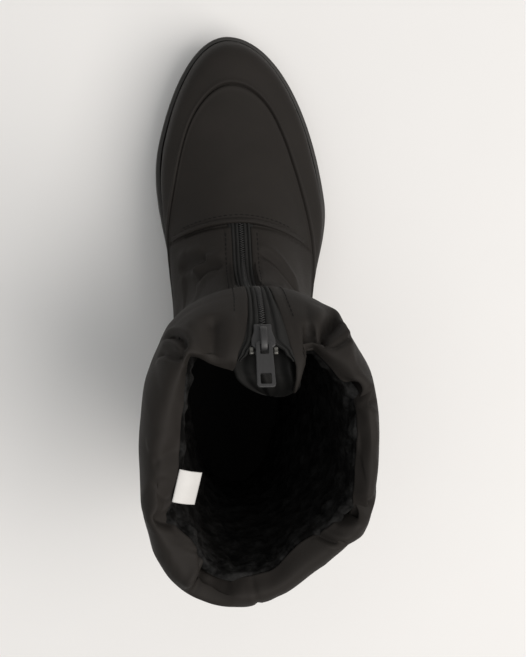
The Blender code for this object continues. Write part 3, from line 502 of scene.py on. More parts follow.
def piece(name, points, faces, material, slot, nodes=(), body="boot", uv=None, weld=0.0, sharp=None):
    """One finished piece: a mesh from points in millimetres, riding on a body in place of CAD nodes."""
    mesh = bpy.data.meshes.new(name)
    mesh.from_pydata((np.reshape(points, (-1, 3)) * MM).tolist(), [], [tuple(face) for face in faces])
    if uv is not None:
        corner = np.empty(len(mesh.loops), int)
        mesh.loops.foreach_get("vertex_index", corner)
        mesh.uv_layers.new(name="cloth").data.foreach_set("uv", np.reshape(uv, (-1, 2))[corner].ravel())
    shape = bmesh.new()
    shape.from_mesh(mesh)
    if weld:
        bmesh.ops.remove_doubles(shape, verts=shape.verts, dist=weld * MM)
    bmesh.ops.recalc_face_normals(shape, faces=shape.faces)
    shape.to_mesh(mesh)
    shape.free()
    mesh.materials.append(material)
    mesh.shade_smooth()
    if sharp:
        mesh.set_sharp_from_angle(angle=math.radians(sharp))
    made = bpy.data.objects.new(name, mesh)
    bpy.context.scene.collection.objects.link(made)
    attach(made, body)
    if nodes:
        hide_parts(*nodes)
    return made


def joined(parts):
    """Points and faces of several meshes, numbered as one."""
    points, faces, start = [], [], 0
    for some_points, some_faces in parts:
        some_points = np.reshape(some_points, (-1, 3))
        points.append(some_points)
        faces += [tuple(int(corner) + start for corner in face) for face in some_faces]
        start += len(some_points)
    return np.concatenate(points), faces


def swept(sections):
    """A bar through a stack of sections, with flat ends."""
    rows, columns = sections.shape[:2]
    faces = [tuple(face) for face in grid_faces(rows, columns, wrap_columns=True)]
    faces += [tuple(range(columns)), tuple(range((rows - 1) * columns, rows * columns))]
    return sections.reshape(-1, 3), faces


def bar(path, up, half_wide, half_high, sides=12, power=2.0):
    """A bar along a path: a superellipse of the given half sizes, kept level with the up vectors."""
    tangent = unit(np.gradient(path, axis=0))
    side = unit(np.cross(tangent, up))
    rise = np.cross(side, tangent)
    turn = np.linspace(0.0, 2 * math.pi, sides, endpoint=False)
    across = np.sign(np.cos(turn)) * np.abs(np.cos(turn)) ** (2 / power)
    above = np.sign(np.sin(turn)) * np.abs(np.sin(turn)) ** (2 / power)
    half_wide = np.broadcast_to(half_wide, len(path))[:, None, None]
    half_high = np.broadcast_to(half_high, len(path))[:, None, None]
    sections = (path[:, None] + side[:, None] * across[None, :, None] * half_wide
                + rise[:, None] * above[None, :, None] * half_high)
    return swept(sections)


# Materials

def linear(hex_colour):
    """Linear colour of an sRGB hex value."""
    srgb = np.array([int(hex_colour[k:k + 2], 16) for k in (1, 3, 5)]) / 255.0
    return (*np.where(srgb <= 0.04045, srgb / 12.92, ((srgb + 0.055) / 1.055) ** 2.4), 1.0)


def add(tree, kind, settings=None, inputs=None, links=None):
    """Adds one node, with its settings, its input values and its links from other outputs."""
    node = tree.nodes.new(kind)
    for name, value in (settings or {}).items():
        setattr(node, name, value)
    for name, value in (inputs or {}).items():
        node.inputs[name].default_value = value
    for name, source in (links or {}).items():
        tree.links.new(source, node.inputs[name])
    return node


def new_material(name, sockets):
    """A material with its shader's own sockets set, its nodes, and links from Object and UV coordinates."""
    material = bpy.data.materials.new(name)
    material.use_nodes = True
    tree = material.node_tree
    for socket, value in sockets.items():
        tree.nodes["Principled BSDF"].inputs[socket].default_value = value
    place = add(tree, "ShaderNodeTexCoord").outputs
    return material, tree, {"Vector": place["Object"]}, {"Vector": place["UV"]}


def finish(material, tone, tones, relief, gloss, *bumps):
    """Lets one pattern blend two tones, another set the roughness, and bumps stack up.

    Each bump is a pattern, a strength and a depth in millimetres, the broadest first.
    """
    tree = material.node_tree
    shader = tree.nodes["Principled BSDF"].inputs
    tint = add(tree, "ShaderNodeMix", {"data_type": "RGBA"}, {6: linear(tones[0]), 7: linear(tones[1])},
               {"Factor": tone})
    tree.links.new(tint.outputs[2], shader["Base Color"])
    rough = add(tree, "ShaderNodeMapRange", {}, {"To Min": gloss[0], "To Max": gloss[1]}, {"Value": relief})
    tree.links.new(rough.outputs[0], shader["Roughness"])
    under = {}
    for height, strength, depth in bumps:
        bump = add(tree, "ShaderNodeBump", {}, {"Strength": strength, "Distance": depth * MM},
                   {"Height": height, **under})
        under = {"Normal": bump.outputs["Normal"]}
    tree.links.new(under["Normal"], shader["Normal"])
    return material


def bands(period):
    """Scale of a band pattern that repeats after a length in millimetres: its own phase is 20 per unit."""
    return 2 * math.pi / (20.0 * period * MM)


def grains(size):
    """Scale of a noise or cell pattern with grains of a size in millimetres."""
    return 1 / (size * MM)


def plain_weave(tree, cloth, thread, waver):
    """Over and under threads on a cloth map: the higher of two crossing band patterns."""
    crossing = [
        add(tree, "ShaderNodeTexWave", {"wave_type": "BANDS", "bands_direction": direction},
            {"Scale": bands(thread), "Distortion": waver, "Detail": 1.0, "Detail Scale": 2.0}, cloth)
        for direction in ("X", "Y")
    ]
    return add(tree, "ShaderNodeMath", {"operation": "MAXIMUM"},
               links={0: crossing[0].outputs["Fac"], 1: crossing[1].outputs["Fac"]}).outputs[0]


def woven_nylon():
    """Woven nylon over wadding: matt and dark, with a fine thread grid, a soft ripple and a faint sheen."""
    material, tree, solid, cloth = new_material("woven_nylon", {
        "Specular IOR Level": 0.12, "Sheen Weight": 0.02, "Sheen Roughness": 0.5,
        "Sheen Tint": linear("#8c8884"),
    })
    # real threads are about 0.25 mm apart; drawn coarser so that they show
    weave = plain_weave(tree, cloth, 0.9, 0.6)
    cloud = add(tree, "ShaderNodeTexNoise", {}, {"Scale": grains(28), "Detail": 3.0}, solid).outputs["Fac"]
    ripple = add(tree, "ShaderNodeTexNoise", {}, {"Scale": grains(7), "Detail": 2.0}, solid).outputs["Fac"]
    return finish(material, cloud, ("#211f1d", "#292624"), weave, (0.55, 0.72),
                  (ripple, 0.25, 0.5), (weave, 0.22, 0.12))


def lining_taffeta():
    """Unpadded taffeta of the gusset: thinner than the shell, close threads with a dull shine, and darker
    than the shell, partly as a darker cloth and partly as painted shade of its recess behind the lips.
    """
    material, tree, solid, cloth = new_material("lining_taffeta", {"Specular IOR Level": 0.12})
    # threads of 0.15 mm, drawn coarser so that they show
    weave = plain_weave(tree, cloth, 0.6, 0.3)
    rumple = add(tree, "ShaderNodeTexNoise", {}, {"Scale": grains(5), "Detail": 3.0}, solid).outputs["Fac"]
    # tones darker than the shell's: partly a darker cloth, partly painted shade of the recess behind the lips
    return finish(material, rumple, ("#0d0d0d", "#141413"), weave, (0.5, 0.65),
                  (rumple, 0.12, 0.5), (weave, 0.2, 0.06))


def sewing_thread():
    """Polyester sewing thread: two plies twisted together, black and matt."""
    material, tree, solid, _ = new_material("sewing_thread", {"Specular IOR Level": 0.1})
    twist = add(tree, "ShaderNodeTexWave", {"wave_type": "BANDS", "bands_direction": "DIAGONAL"},
                {"Scale": bands(0.4), "Distortion": 0.4}, solid).outputs["Fac"]
    return finish(material, twist, ("#101010", "#1e1d1d"), twist, (0.8, 0.92), (twist, 0.4, 0.1))


def curly_pile():
    """Synthetic sheepskin: curls about 3 mm across and near black, with painted light and shade laid in
    random patches, greyer where the curls stand lit and darker in their shaded hollows.
    """
    material, tree, solid, _ = new_material("curly_pile", {
        "Specular IOR Level": 0.05, "Sheen Weight": 0.06, "Sheen Roughness": 0.6,
        "Sheen Tint": linear("#6a6866"),
    })
    stray = add(tree, "ShaderNodeTexNoise", {}, {"Scale": grains(2.5), "Detail": 2.0}, solid).outputs["Fac"]
    curl = add(tree, "ShaderNodeTexVoronoi", {"feature": "SMOOTH_F1"},
               {"Scale": grains(3.2), "Smoothness": 0.6}, solid).outputs["Distance"]
    # painted light and shade: random patches mix near black and lighter grey, standing for lit curls and
    # shaded hollows
    lit_patch_noise = add(tree, "ShaderNodeTexNoise", {}, {"Scale": grains(9), "Detail": 3.0, "Roughness": 0.7},
               solid).outputs["Fac"]
    painted_patch_light = add(tree, "ShaderNodeMapRange", {}, {"From Min": 0.42, "From Max": 0.68}, {"Value": lit_patch_noise})
    return finish(material, painted_patch_light.outputs[0], ("#090909", "#272727"), stray, (0.9, 1.0),
                  (curl, 0.6, 0.8), (stray, 0.6, 0.6))


def moulded_rubber():
    """Moulded rubber: charcoal black, with the fine grain of its spark-eroded mould and a cloudy bloom."""
    material, tree, solid, _ = new_material("moulded_rubber", {"Specular IOR Level": 0.35})
    grain = add(tree, "ShaderNodeTexVoronoi", {"feature": "SMOOTH_F1"}, {"Scale": grains(0.7)},
                solid).outputs["Distance"]
    bloom = add(tree, "ShaderNodeTexNoise", {}, {"Scale": grains(18), "Detail": 5.0, "Roughness": 0.65},
                solid).outputs["Fac"]
    return finish(material, bloom, ("#282726", "#393836"), grain, (0.52, 0.7), (grain, 0.4, 0.1))


def pressed_felt():
    """Pressed wool felt: black and dull, with short fibres lying in two directions."""
    material, tree, solid, _ = new_material("pressed_felt", {"Specular IOR Level": 0.1, "Sheen Weight": 0.05})
    fibres = []
    for turn in (0.5, -0.7):
        lie = add(tree, "ShaderNodeMapping", {},
                  {"Rotation": (0.0, 0.0, turn), "Scale": (1.0, 0.14, 1.0)}, solid)
        fibres.append(add(tree, "ShaderNodeTexNoise", {}, {"Scale": grains(0.5), "Detail": 3.0},
                          {"Vector": lie.outputs["Vector"]}).outputs["Fac"])
    mat = add(tree, "ShaderNodeMath", {"operation": "MAXIMUM"}, {}, {0: fibres[0], 1: fibres[1]}).outputs[0]
    return finish(material, mat, ("#0a0a0a", "#1f1f1f"), mat, (0.9, 1.0), (mat, 0.4, 0.25))


def coil_nylon():
    """Nylon monofilament of the coils: smooth and drawn, so it has a narrow gloss and faint draw lines."""
    material, tree, solid, _ = new_material("coil_nylon", {"Specular IOR Level": 0.3})
    drawn = add(tree, "ShaderNodeTexNoise", {}, {"Scale": grains(0.8), "Detail": 2.0}, solid).outputs["Fac"]
    return finish(material, drawn, ("#1e1e1e", "#2a2a2a"), drawn, (0.34, 0.46), (drawn, 0.4, 0.02))


def woven_zip_tape():
    """Polyester tape in a twill weave: matt, with slanting ribs of thread."""
    material, tree, solid, cloth = new_material("woven_zip_tape", {"Specular IOR Level": 0.15})
    # twill lines of 0.4 mm, drawn coarser so that they show
    twill = add(tree, "ShaderNodeTexWave", {"wave_type": "BANDS", "bands_direction": "DIAGONAL"},
                {"Scale": bands(0.8), "Distortion": 0.5, "Detail": 1.0}, cloth).outputs["Fac"]
    fade = add(tree, "ShaderNodeTexNoise", {}, {"Scale": grains(6), "Detail": 3.0}, solid).outputs["Fac"]
    return finish(material, fade, ("#1e1e1e", "#2a2a29"), twill, (0.72, 0.86), (twill, 0.4, 0.15))


def lacquered_zinc():
    """Zinc casting under grey lacquer: a satin skin with slight orange peel and fine rubbed lines."""
    material, tree, solid, _ = new_material("lacquered_zinc", {
        "Metallic": 0.35, "Coat Weight": 0.15, "Coat Roughness": 0.3,
    })
    rubbed = add(tree, "ShaderNodeMapping", {},
                 {"Rotation": (0.0, 0.0, 0.3), "Scale": (1.0, 0.12, 0.12)}, solid)
    lines = add(tree, "ShaderNodeTexNoise", {}, {"Scale": grains(0.35), "Detail": 3.0},
                {"Vector": rubbed.outputs["Vector"]}).outputs["Fac"]
    peel = add(tree, "ShaderNodeTexNoise", {}, {"Scale": grains(0.9), "Detail": 1.0}, solid).outputs["Fac"]
    return finish(material, lines, ("#2d2d2e", "#3d3d3e"), peel, (0.46, 0.6), (peel, 0.4, 0.03))


def pressed_nickel():
    """Nickelled brass clips: pressed and tumbled, bright but dulled by fine dents."""
    material, tree, solid, _ = new_material("pressed_nickel", {"Metallic": 0.9})
    dents = add(tree, "ShaderNodeTexVoronoi", {"feature": "SMOOTH_F1"}, {"Scale": grains(0.5)},
                solid).outputs["Distance"]
    return finish(material, dents, ("#66655f", "#787775"), dents, (0.34, 0.5), (dents, 0.4, 0.04))


def satin_ribbon():
    """Woven satin ribbon of the label: white, with long floating threads that give it a soft shine across."""
    material, tree, solid, cloth = new_material("satin_ribbon", {
        "Sheen Weight": 0.1, "Specular IOR Level": 0.3,
    })
    # threads of 0.2 mm, drawn coarser so that they show
    floats = add(tree, "ShaderNodeTexWave", {"wave_type": "BANDS", "bands_direction": "X"},
                 {"Scale": bands(0.6), "Distortion": 0.8, "Detail": 1.0}, cloth).outputs["Fac"]
    soil = add(tree, "ShaderNodeTexNoise", {}, {"Scale": grains(6), "Detail": 2.0}, solid).outputs["Fac"]
    return finish(material, soil, ("#c9c8c6", "#d3d2d0"), floats, (0.4, 0.55), (floats, 0.4, 0.05))


def studio_paper():
    """Matt background paper: pale, with a barely seen cloudiness and tooth."""
    material, tree, solid, _ = new_material("studio_paper", {"Specular IOR Level": 0.1})
    cloud = add(tree, "ShaderNodeTexNoise", {}, {"Scale": grains(60), "Detail": 3.0}, solid).outputs["Fac"]
    return finish(material, cloud, ("#e8e8e8", "#eaeaea"), cloud, (0.85, 0.95), (cloud, 0.4, 0.02))


# Upper

def opening_half(levels, side):
    """How far the opening reaches to one side of the middle of the front."""
    return table_value(OPENING[side], levels)


def throat_level():
    """Level where the middle of the front comes to the lower end of the opening."""
    levels = np.linspace(ROW["vamp"], ROW["ankle"], 400)
    return float(np.interp(-THROAT_Y, -section_values(levels)["front_y"], levels))


def shell_levels():
    """Rows of the shell: closest together at the band's seam and over the collar."""
    runs = [np.linspace(low, high, count, endpoint=False) for low, high, count in SHELL_RUNS]
    return np.concatenate([*runs, [float(ROW["lip"])]])


def round_angles(levels, halves, columns, closed=0.0):
    """Angles from one side of the front opening round the heel to the other side, a row for each level.

    Where a row is closed, only its first and last columns spread out to meet in the middle of the front.
    """
    row = section_values(levels)
    share = np.linspace(0.0, 1.0, columns)
    lean = smoothstep(0.0, 1.0, share)
    angles = 2 * math.pi * share
    for side, ball, there, reach in (("outer", "out_ball", share, (1 - lean) * (1 - share)),
                                     ("inner", "in_ball", 1 - share, -lean * share)):
        spread = np.multiply.outer(closed + 0.0 * levels, bell(there, CLOSED_SPREAD))
        edge = edge_angle(row, ball, halves[side])[:, None]
        middle = edge_angle(row, ball, LIP_RADIUS + 0.0 * levels)[:, None]
        angles = angles + reach * (edge + (middle - edge) * spread)
    return angles


def beside_opening(points, half, far=99.0):
    """Distance from the edge of the front opening, and a large number away from it."""
    x, y = points[..., 0], points[..., 1]
    away = np.abs(x - 0.5 * (x[:, :1] + x[:, -1:])) - half[:, None]
    return np.where((half > 1.0)[:, None] & (y > y.mean(axis=1, keepdims=True)), away, far)


def vamp_edge_share(x):
    """How much of its height the rear edge of the toe panel keeps towards its ends."""
    return table_value(VAMP_EDGE_SHARE, x)


def vamp_edge_y(x):
    """Rear edge of the toe panel in plan: a parabola across the instep."""
    return VAMP_EDGE["y"] - VAMP_EDGE["bow"] * x**2


def panel_height(levels, angles, points, beside):
    """Height of the panels.

    The band's step and sewn groove, the toe panel's rear edge with a groove on both sides, and the seams
    beside the zip: smooth steps and bells of the distance from each line.
    """
    pace = np.linalg.norm(np.gradient(points, levels, axis=0), axis=-1)
    pace = pace[np.argmin(np.abs(levels - ROW["apron_seam"]))]
    level = levels[:, None]
    away = (level - ROW["apron_seam"] - blurred(SEAM_RISE, SEAM_BLUR, angles)) * pace
    edge = BAND["edge"]
    height = BAND["step"] * smoothstep(ROW["side_bulge"], ROW["toe_round"] + edge, level)
    height = height * (1 - smoothstep(-edge, edge, away))
    height = height - BAND["groove"] * bell(away, BAND["groove_half"])
    height += BAND["swell"] * bell(np.abs(away) - BAND["swell_half"], BAND["swell_half"] * 0.6)
    x, y = points[..., 0], points[..., 1]
    ahead = y - vamp_edge_y(x)
    on_vamp = smoothstep(*VAMP_AREA["from"], level) * (level < VAMP_AREA["to"]) * (y > VAMP_AREA["back_y"])
    lift = VAMP_EDGE["lift"] * smoothstep(-0.5, 0.5, ahead) * (1 - smoothstep(0.0, VAMP_EDGE["run"], ahead))
    grooves = (VAMP_EDGE["behind"] * bell(ahead + VAMP_EDGE["groove_at"], VAMP_EDGE["behind_half"])
               + VAMP_EDGE["before"] * bell(ahead - VAMP_EDGE["groove_at"], VAMP_EDGE["before_half"]))
    height += on_vamp * (lift - grooves) * vamp_edge_share(x)
    swell = LIP_SEAM["swell"] * bell(beside - LIP_SEAM["swell_at"], LIP_SEAM["swell_half"])
    return height + swell - LIP_SEAM["depth"] * bell(beside - LIP_SEAM["from_edge"], LIP_SEAM["half"])


def crease_height(points, normals):
    """Relief of the creases: a sharp trough along each line, a swell on both sides and a step across it.

    The trough falls off as an exponential of the distance from the line, rounder the wider it is, and all
    three fade towards the line's ends.
    """
    form = CREASE_FORM
    height = np.zeros(points.shape[:-1])
    for line, depth, half, swell, step in CREASES.values():
        place = np.linspace(0.0, len(line) - 1.0, form["steps"] * len(line))
        level, angle = catmull_rom(line, place).T
        angle = np.radians(angle)
        path, _, along = skin_slopes(level, angle)
        path = path + collar_move(level, angle, plan_outward(along))
        low, high = path.min(axis=0) - form["reach"] * half, path.max(axis=0) + form["reach"] * half
        near = np.all((points > low) & (points < high), axis=-1)
        some, up = points[near], normals[near]
        best = np.full(len(some), np.inf)
        share, side = np.zeros(len(some)), np.zeros(len(some))
        for k, (start, end) in enumerate(zip(path, path[1:])):
            run, reach = end - start, some - start
            t = np.clip(reach @ run / (run @ run), 0.0, 1.0)
            away = np.linalg.norm(reach - t[:, None] * run, axis=-1)
            nearer = away < best
            share = np.where(nearer, (k + t) / (len(path) - 1), share)
            side = np.where(nearer, np.sign((np.cross(run, reach) * up).sum(axis=-1)), side)
            best = np.minimum(best, away)
        fade = smoothstep(0.0, form["fade"], share) * smoothstep(0.0, form["fade"], 1 - share)
        soft = max(form["least_soft"], half / form["sharp_half"] - 1.0)
        trough = np.exp(soft - np.hypot(best / half, soft))
        across = side * np.tanh(best / (soft * half)) * np.exp(-best / (form["step_reach"] * half))
        swells = bell(best - form["swell_at"] * half, form["swell_half"] * half)
        height[near] += fade * (swell * swells - depth * trough + step * across)
    return height


def rolled_edge(edge, normals, middle, side, open_share, columns):
    """Cloth beside the front opening.

    It rolls in on a small circle, or runs flat to the middle where the front is closed.
    """
    turn = np.linspace(0.0, 1.0, columns + 1)[1:]
    swing = math.radians(LIP_TURN) * turn[None, :, None]
    inward = unit(np.array([side, 0.0, 0.0]) - normals * (normals[:, :1] * side))
    rolled = (edge[:, None] + LIP_RADIUS * inward[:, None] * np.sin(swing)
              + LIP_RADIUS * normals[:, None] * (np.cos(swing) - 1))
    flat = edge[:, None] + (middle - edge)[:, None] * turn[None, :, None]
    return flat + (rolled - flat) * open_share[:, None, None]


def edge_wall(outer, inner):
    """Faces between the outer and the inner edge of the opening, which have different numbers of points."""
    pairs = np.round(np.linspace(0, len(inner) - 1, len(outer))).astype(int)
    faces = []
    for k in range(len(outer) - 1):
        corners = (outer[k], outer[k + 1], inner[pairs[k + 1]], inner[pairs[k]])
        faces.append(tuple(dict.fromkeys(corners)))
    return faces


def cloth_uv(points):
    """Cloth coordinates in metres: the way round the boot from the heel, and the way up from the sole."""
    across = np.linalg.norm(np.diff(points, axis=1), axis=-1)
    across = np.concatenate([np.zeros((len(points), 1)), np.cumsum(across, axis=1)], axis=1)
    across = across - across[:, points.shape[1] // 2, None]
    up = np.linalg.norm(np.diff(points, axis=0), axis=-1)
    up = np.concatenate([np.zeros((1, points.shape[1])), np.cumsum(up, axis=0)])
    return np.stack([across, up], axis=-1) * MM


def build_shell(material):
    """Nylon shell: the skin up the outside, over the roll to the lip, and a plainer face down the inside.

    Beside the front opening the cloth rolls in on a small circle. Below the opening the two edges meet.
    """
    levels, throat = shell_levels(), throat_level()
    open_share = smoothstep(throat, throat + SHELL["opens_in"], levels)
    half = sum(opening_half(levels, side) * open_share for side in OPENING) / 2
    ramp = smoothstep(ROW["apron_seam"], throat, levels)
    wide = {side: opening_half(np.maximum(levels, throat), side) * ramp + LIP_RADIUS for side in OPENING}
    angles = round_angles(levels, wide, SHELL["columns"], closed=1 - open_share)
    form = collar_form(levels, angles)
    normals = grid_normals(form)
    beside = beside_opening(form, half)
    creases = crease_height(form, normals) * smoothstep(0.0, SHELL["clear"], beside)
    height = panel_height(levels, angles, form, beside) + creases
    height += sum(rise * soft_noise(form, size, seed) for rise, size, seed in CLOTH_NOISE)
    deepest = (table_value(DEEPEST_CREASE, levels) * wall_at(levels))[:, None]
    height = np.where(height < 0, deepest * np.tanh(height / deepest), height)
    skin = form + normals * height[..., None]
    middle = 0.5 * (skin[:, 0] + skin[:, -1])
    edges = [rolled_edge(skin[:, column], normals[:, column], middle, side, open_share, SHELL["lip_columns"])
             for column, side in ((0, -1.0), (-1, 1.0))]
    outside = np.concatenate([edges[0][:, ::-1], skin, edges[1]], axis=1)
    first, total = outside.shape[:2]
    # levels down the inner face, close together where the opening narrows
    inner_levels = np.concatenate([[11.0, 10.0, 9.5], np.arange(9.0, 7.1, -0.25),
                                   [throat + 0.2, throat, 6.0, 5.0, 4.0, 3.0, 2.0, 1.0, 0.4]])
    inner_halves = {
        side: np.where(inner_levels > throat, opening_half(inner_levels, side) + SHELL["inner_over"], 1e-3)
        for side in OPENING
    }
    inner_angles = round_angles(inner_levels, inner_halves, total)
    inside = lining_form(inner_levels, inner_angles, share=SHELL["inner_share"])
    points = np.concatenate([outside, inside])
    faces = [tuple(face) for face in grid_faces(len(points), total, wrap_rows=True)]
    closed_row = int(np.sum(open_share == 0.0)) - 1
    closed_inner = int(np.argmin(np.abs(inner_levels - throat)))
    for column in (0, total - 1):
        outer_edge = np.arange(closed_row, first) * total + column
        inner_edge = (first + np.arange(closed_inner, -1, -1)) * total + column
        faces += edge_wall(outer_edge.tolist(), inner_edge.tolist())
    uv = np.concatenate([cloth_uv(outside), np.zeros((len(inside), total, 2))])
    shell = piece("upper_shell", points, faces, material, "padded_nylon", ["upper"], uv=uv, weld=0.01)
    return {"levels": levels, "skin": skin, "normals": normals, "throat": throat}


def build_lining(material):
    """Warm lining: rings from under the collar's lip down to the insole, raised into soft curls of pile."""
    angles = np.linspace(0.0, 2 * math.pi, LINING["columns"] + 1)[None, :]
    near_lip = np.array([14.9, 14.95, 15.0])
    lip = collar_form(near_lip, angles.repeat(len(near_lip), axis=0))
    outward, down = plan_normals(lip)[-1], np.array([0.0, 0.0, -1.0])
    tuck = blurred(LINING_TUCK, COLLAR_BLUR, angles[0])[:, None]
    lip = lip[-1] + tuck * (outward * TUCK_OUT + down * TUCK_DOWN)
    wall_levels = np.array(LINING_LEVELS)
    wall = lining_form(wall_levels, angles.repeat(len(wall_levels), axis=0))
    head = [lip + outward * out + down * fall for out, fall in LINING_HEAD]
    head.append(lip * LINING["lip_share"] + wall[0] * (1 - LINING["lip_share"]))
    stack = np.concatenate([head, wall])[:, :-1]
    place = np.concatenate([np.linspace(0.0, len(head), LINING["head_rows"], endpoint=False),
                            np.linspace(len(head), len(stack) - 1.0, LINING["wall_rows"])])
    form = catmull_rom(stack, place)
    inward = unit(np.cross(np.gradient(form, axis=0), np.roll(form, -1, axis=1) - np.roll(form, 1, axis=1)))
    curls = sum(rise * np.abs(soft_noise(form, size, seed)) for rise, size, seed in PILE_CURLS)
    curls += PILE_SWELL[0] * soft_noise(form, *PILE_SWELL[1:])
    pile = form + inward * (curls * smoothstep(*PILE_FROM, place)[:, None])[..., None]
    rows = np.linspace(len(form) - 1, 0, LINING["back_rows"]).astype(int)
    points = np.concatenate([pile, form[rows] - inward[rows] * LINING["sheet"]])
    faces = grid_faces(len(points), points.shape[1], wrap_rows=True, wrap_columns=True)
    return piece("pile_lining", points, faces, material, "padded_nylon")


def build_vamp_edge(material):
    """Folded rear edge of the toe panel: a rounded strip that follows a parabola across the instep."""
    x = np.linspace(VAMP_EDGE["inner"], VAMP_EDGE["outer"], 120)
    across = np.array([0.0, 0.0, 0.08, 0.22, 0.4, 0.6, 0.8, 1.0, 1.0, 0.5])
    lift = np.array([-0.6, 0.5, 0.85, 1.0, 0.98, 0.9, 0.8, 0.6, -0.6, -0.6])
    y = vamp_edge_y(x)[:, None] + (across - 0.5) * VAMP_EDGE["width"]
    points, normals = skin_at(*skin_place(*np.broadcast_arrays(x[:, None], y)))
    raised = lift * np.where(lift > 0, vamp_edge_share(x)[:, None], 1.0) * VAMP_EDGE["height"]
    points, faces = swept(points + normals * raised[..., None])
    uv = points[:, :2] * MM
    return piece("vamp_edge_fold", points, faces, material, "padded_nylon", ["vamp_edge"], uv=uv)


def stitches(path, normals, length, gap, radius):
    """A row of stitches: thread capsules of one length, a gap apart, half sunk along a path."""
    run = run_along(path)

    def at(where, array):
        """Values of an array at lengths along the path."""
        return np.stack([np.interp(where, run, array[:, k]) for k in range(3)], axis=-1)

    middles = np.arange(length, run[-1] - length, length + gap)
    centre, up = at(middles, path), unit(at(middles, normals))
    ahead = unit(at(middles + 0.4, path) - at(middles - 0.4, path))
    side = np.cross(ahead, up)
    along = np.array([-0.5, -0.42, -0.2, 0.2, 0.42, 0.5]) * length
    width = np.array([0.25, 0.8, 1.0, 1.0, 0.8, 0.25]) * radius
    sink = np.array([-0.8, -0.1, 0.35, 0.35, -0.1, -0.8]) * radius
    turn = np.linspace(0.0, 2 * math.pi, 6, endpoint=False)
    sections = (
        centre[:, None, None] + ahead[:, None, None] * along[None, :, None, None]
        + side[:, None, None] * (width[:, None] * np.cos(turn))[None, :, :, None]
        + up[:, None, None] * (sink[:, None] + width[:, None] * np.sin(turn))[None, :, :, None]
    )
    return joined([swept(section) for section in sections])


def build_stitches(material, shell):
    """Sewing beside the zip on both sides and along the rear edge of the toe panel."""
    levels, skin, normals = shell["levels"], shell["skin"], shell["normals"]
    part = (levels > shell["throat"] + ZIP_ROWS["above_throat"]) & (levels < ZIP_ROWS["top"])
    rows = [stitches(skin[part, column], normals[part, column], **STITCH) for column in ZIP_ROWS["columns"]]
    x = np.linspace(-VAMP_ROW["half_span"], VAMP_ROW["half_span"], 80)
    points, normals = skin_at(*skin_place(x, vamp_edge_y(x) + VAMP_ROW["ahead"]))
    lift = VAMP_ROW["lift_share"] * VAMP_EDGE["lift"] * vamp_edge_share(x)
    rows.append(stitches(points + normals * lift[:, None], normals, **STITCH))
    return piece("stitching", *joined(rows), material, "padded_nylon")


# Sole and insole

def sole_edge(angle):
    """Outline of the sole at the given angles, with its outward direction in plan."""
    row = dict(zip(SECTION_COLUMNS, np.array(SOLE_OUTLINE)))
    along = ring_points(row, angle + FINE_NUDGE) - ring_points(row, angle - FINE_NUDGE)
    return ring_points(row, angle), plan_outward(along)


def ground(y):
    """Height of the sole's underside: flat heel and forefoot, raised arch and toe spring."""
    middle, reach = (ARCH["back"] + ARCH["front"]) / 2, (ARCH["front"] - ARCH["back"]) / 2
    arch = ARCH["rise"] * np.clip(1 - ((y - middle) / reach) ** 2, 0, None) ** 1.5
    spring = np.clip((y - TOE_SPRING["start"]) / (SOLE_OUTLINE[0] - TOE_SPRING["start"]), 0, None)
    return arch + TOE_SPRING["rise"] * spring**2


def sweep(y):
    """How far a tread bar's middle leads its ends."""
    return TREAD["sweep"] * (1 - smoothstep(*TREAD["straight"], y))


def tread_starts():
    """Rear edges of the grooves between the tread's bars, one pitch apart under the heel and the forefoot."""
    return np.concatenate([np.arange(first, end, TREAD["pitch"]) for first, end in TREAD_RUNS])


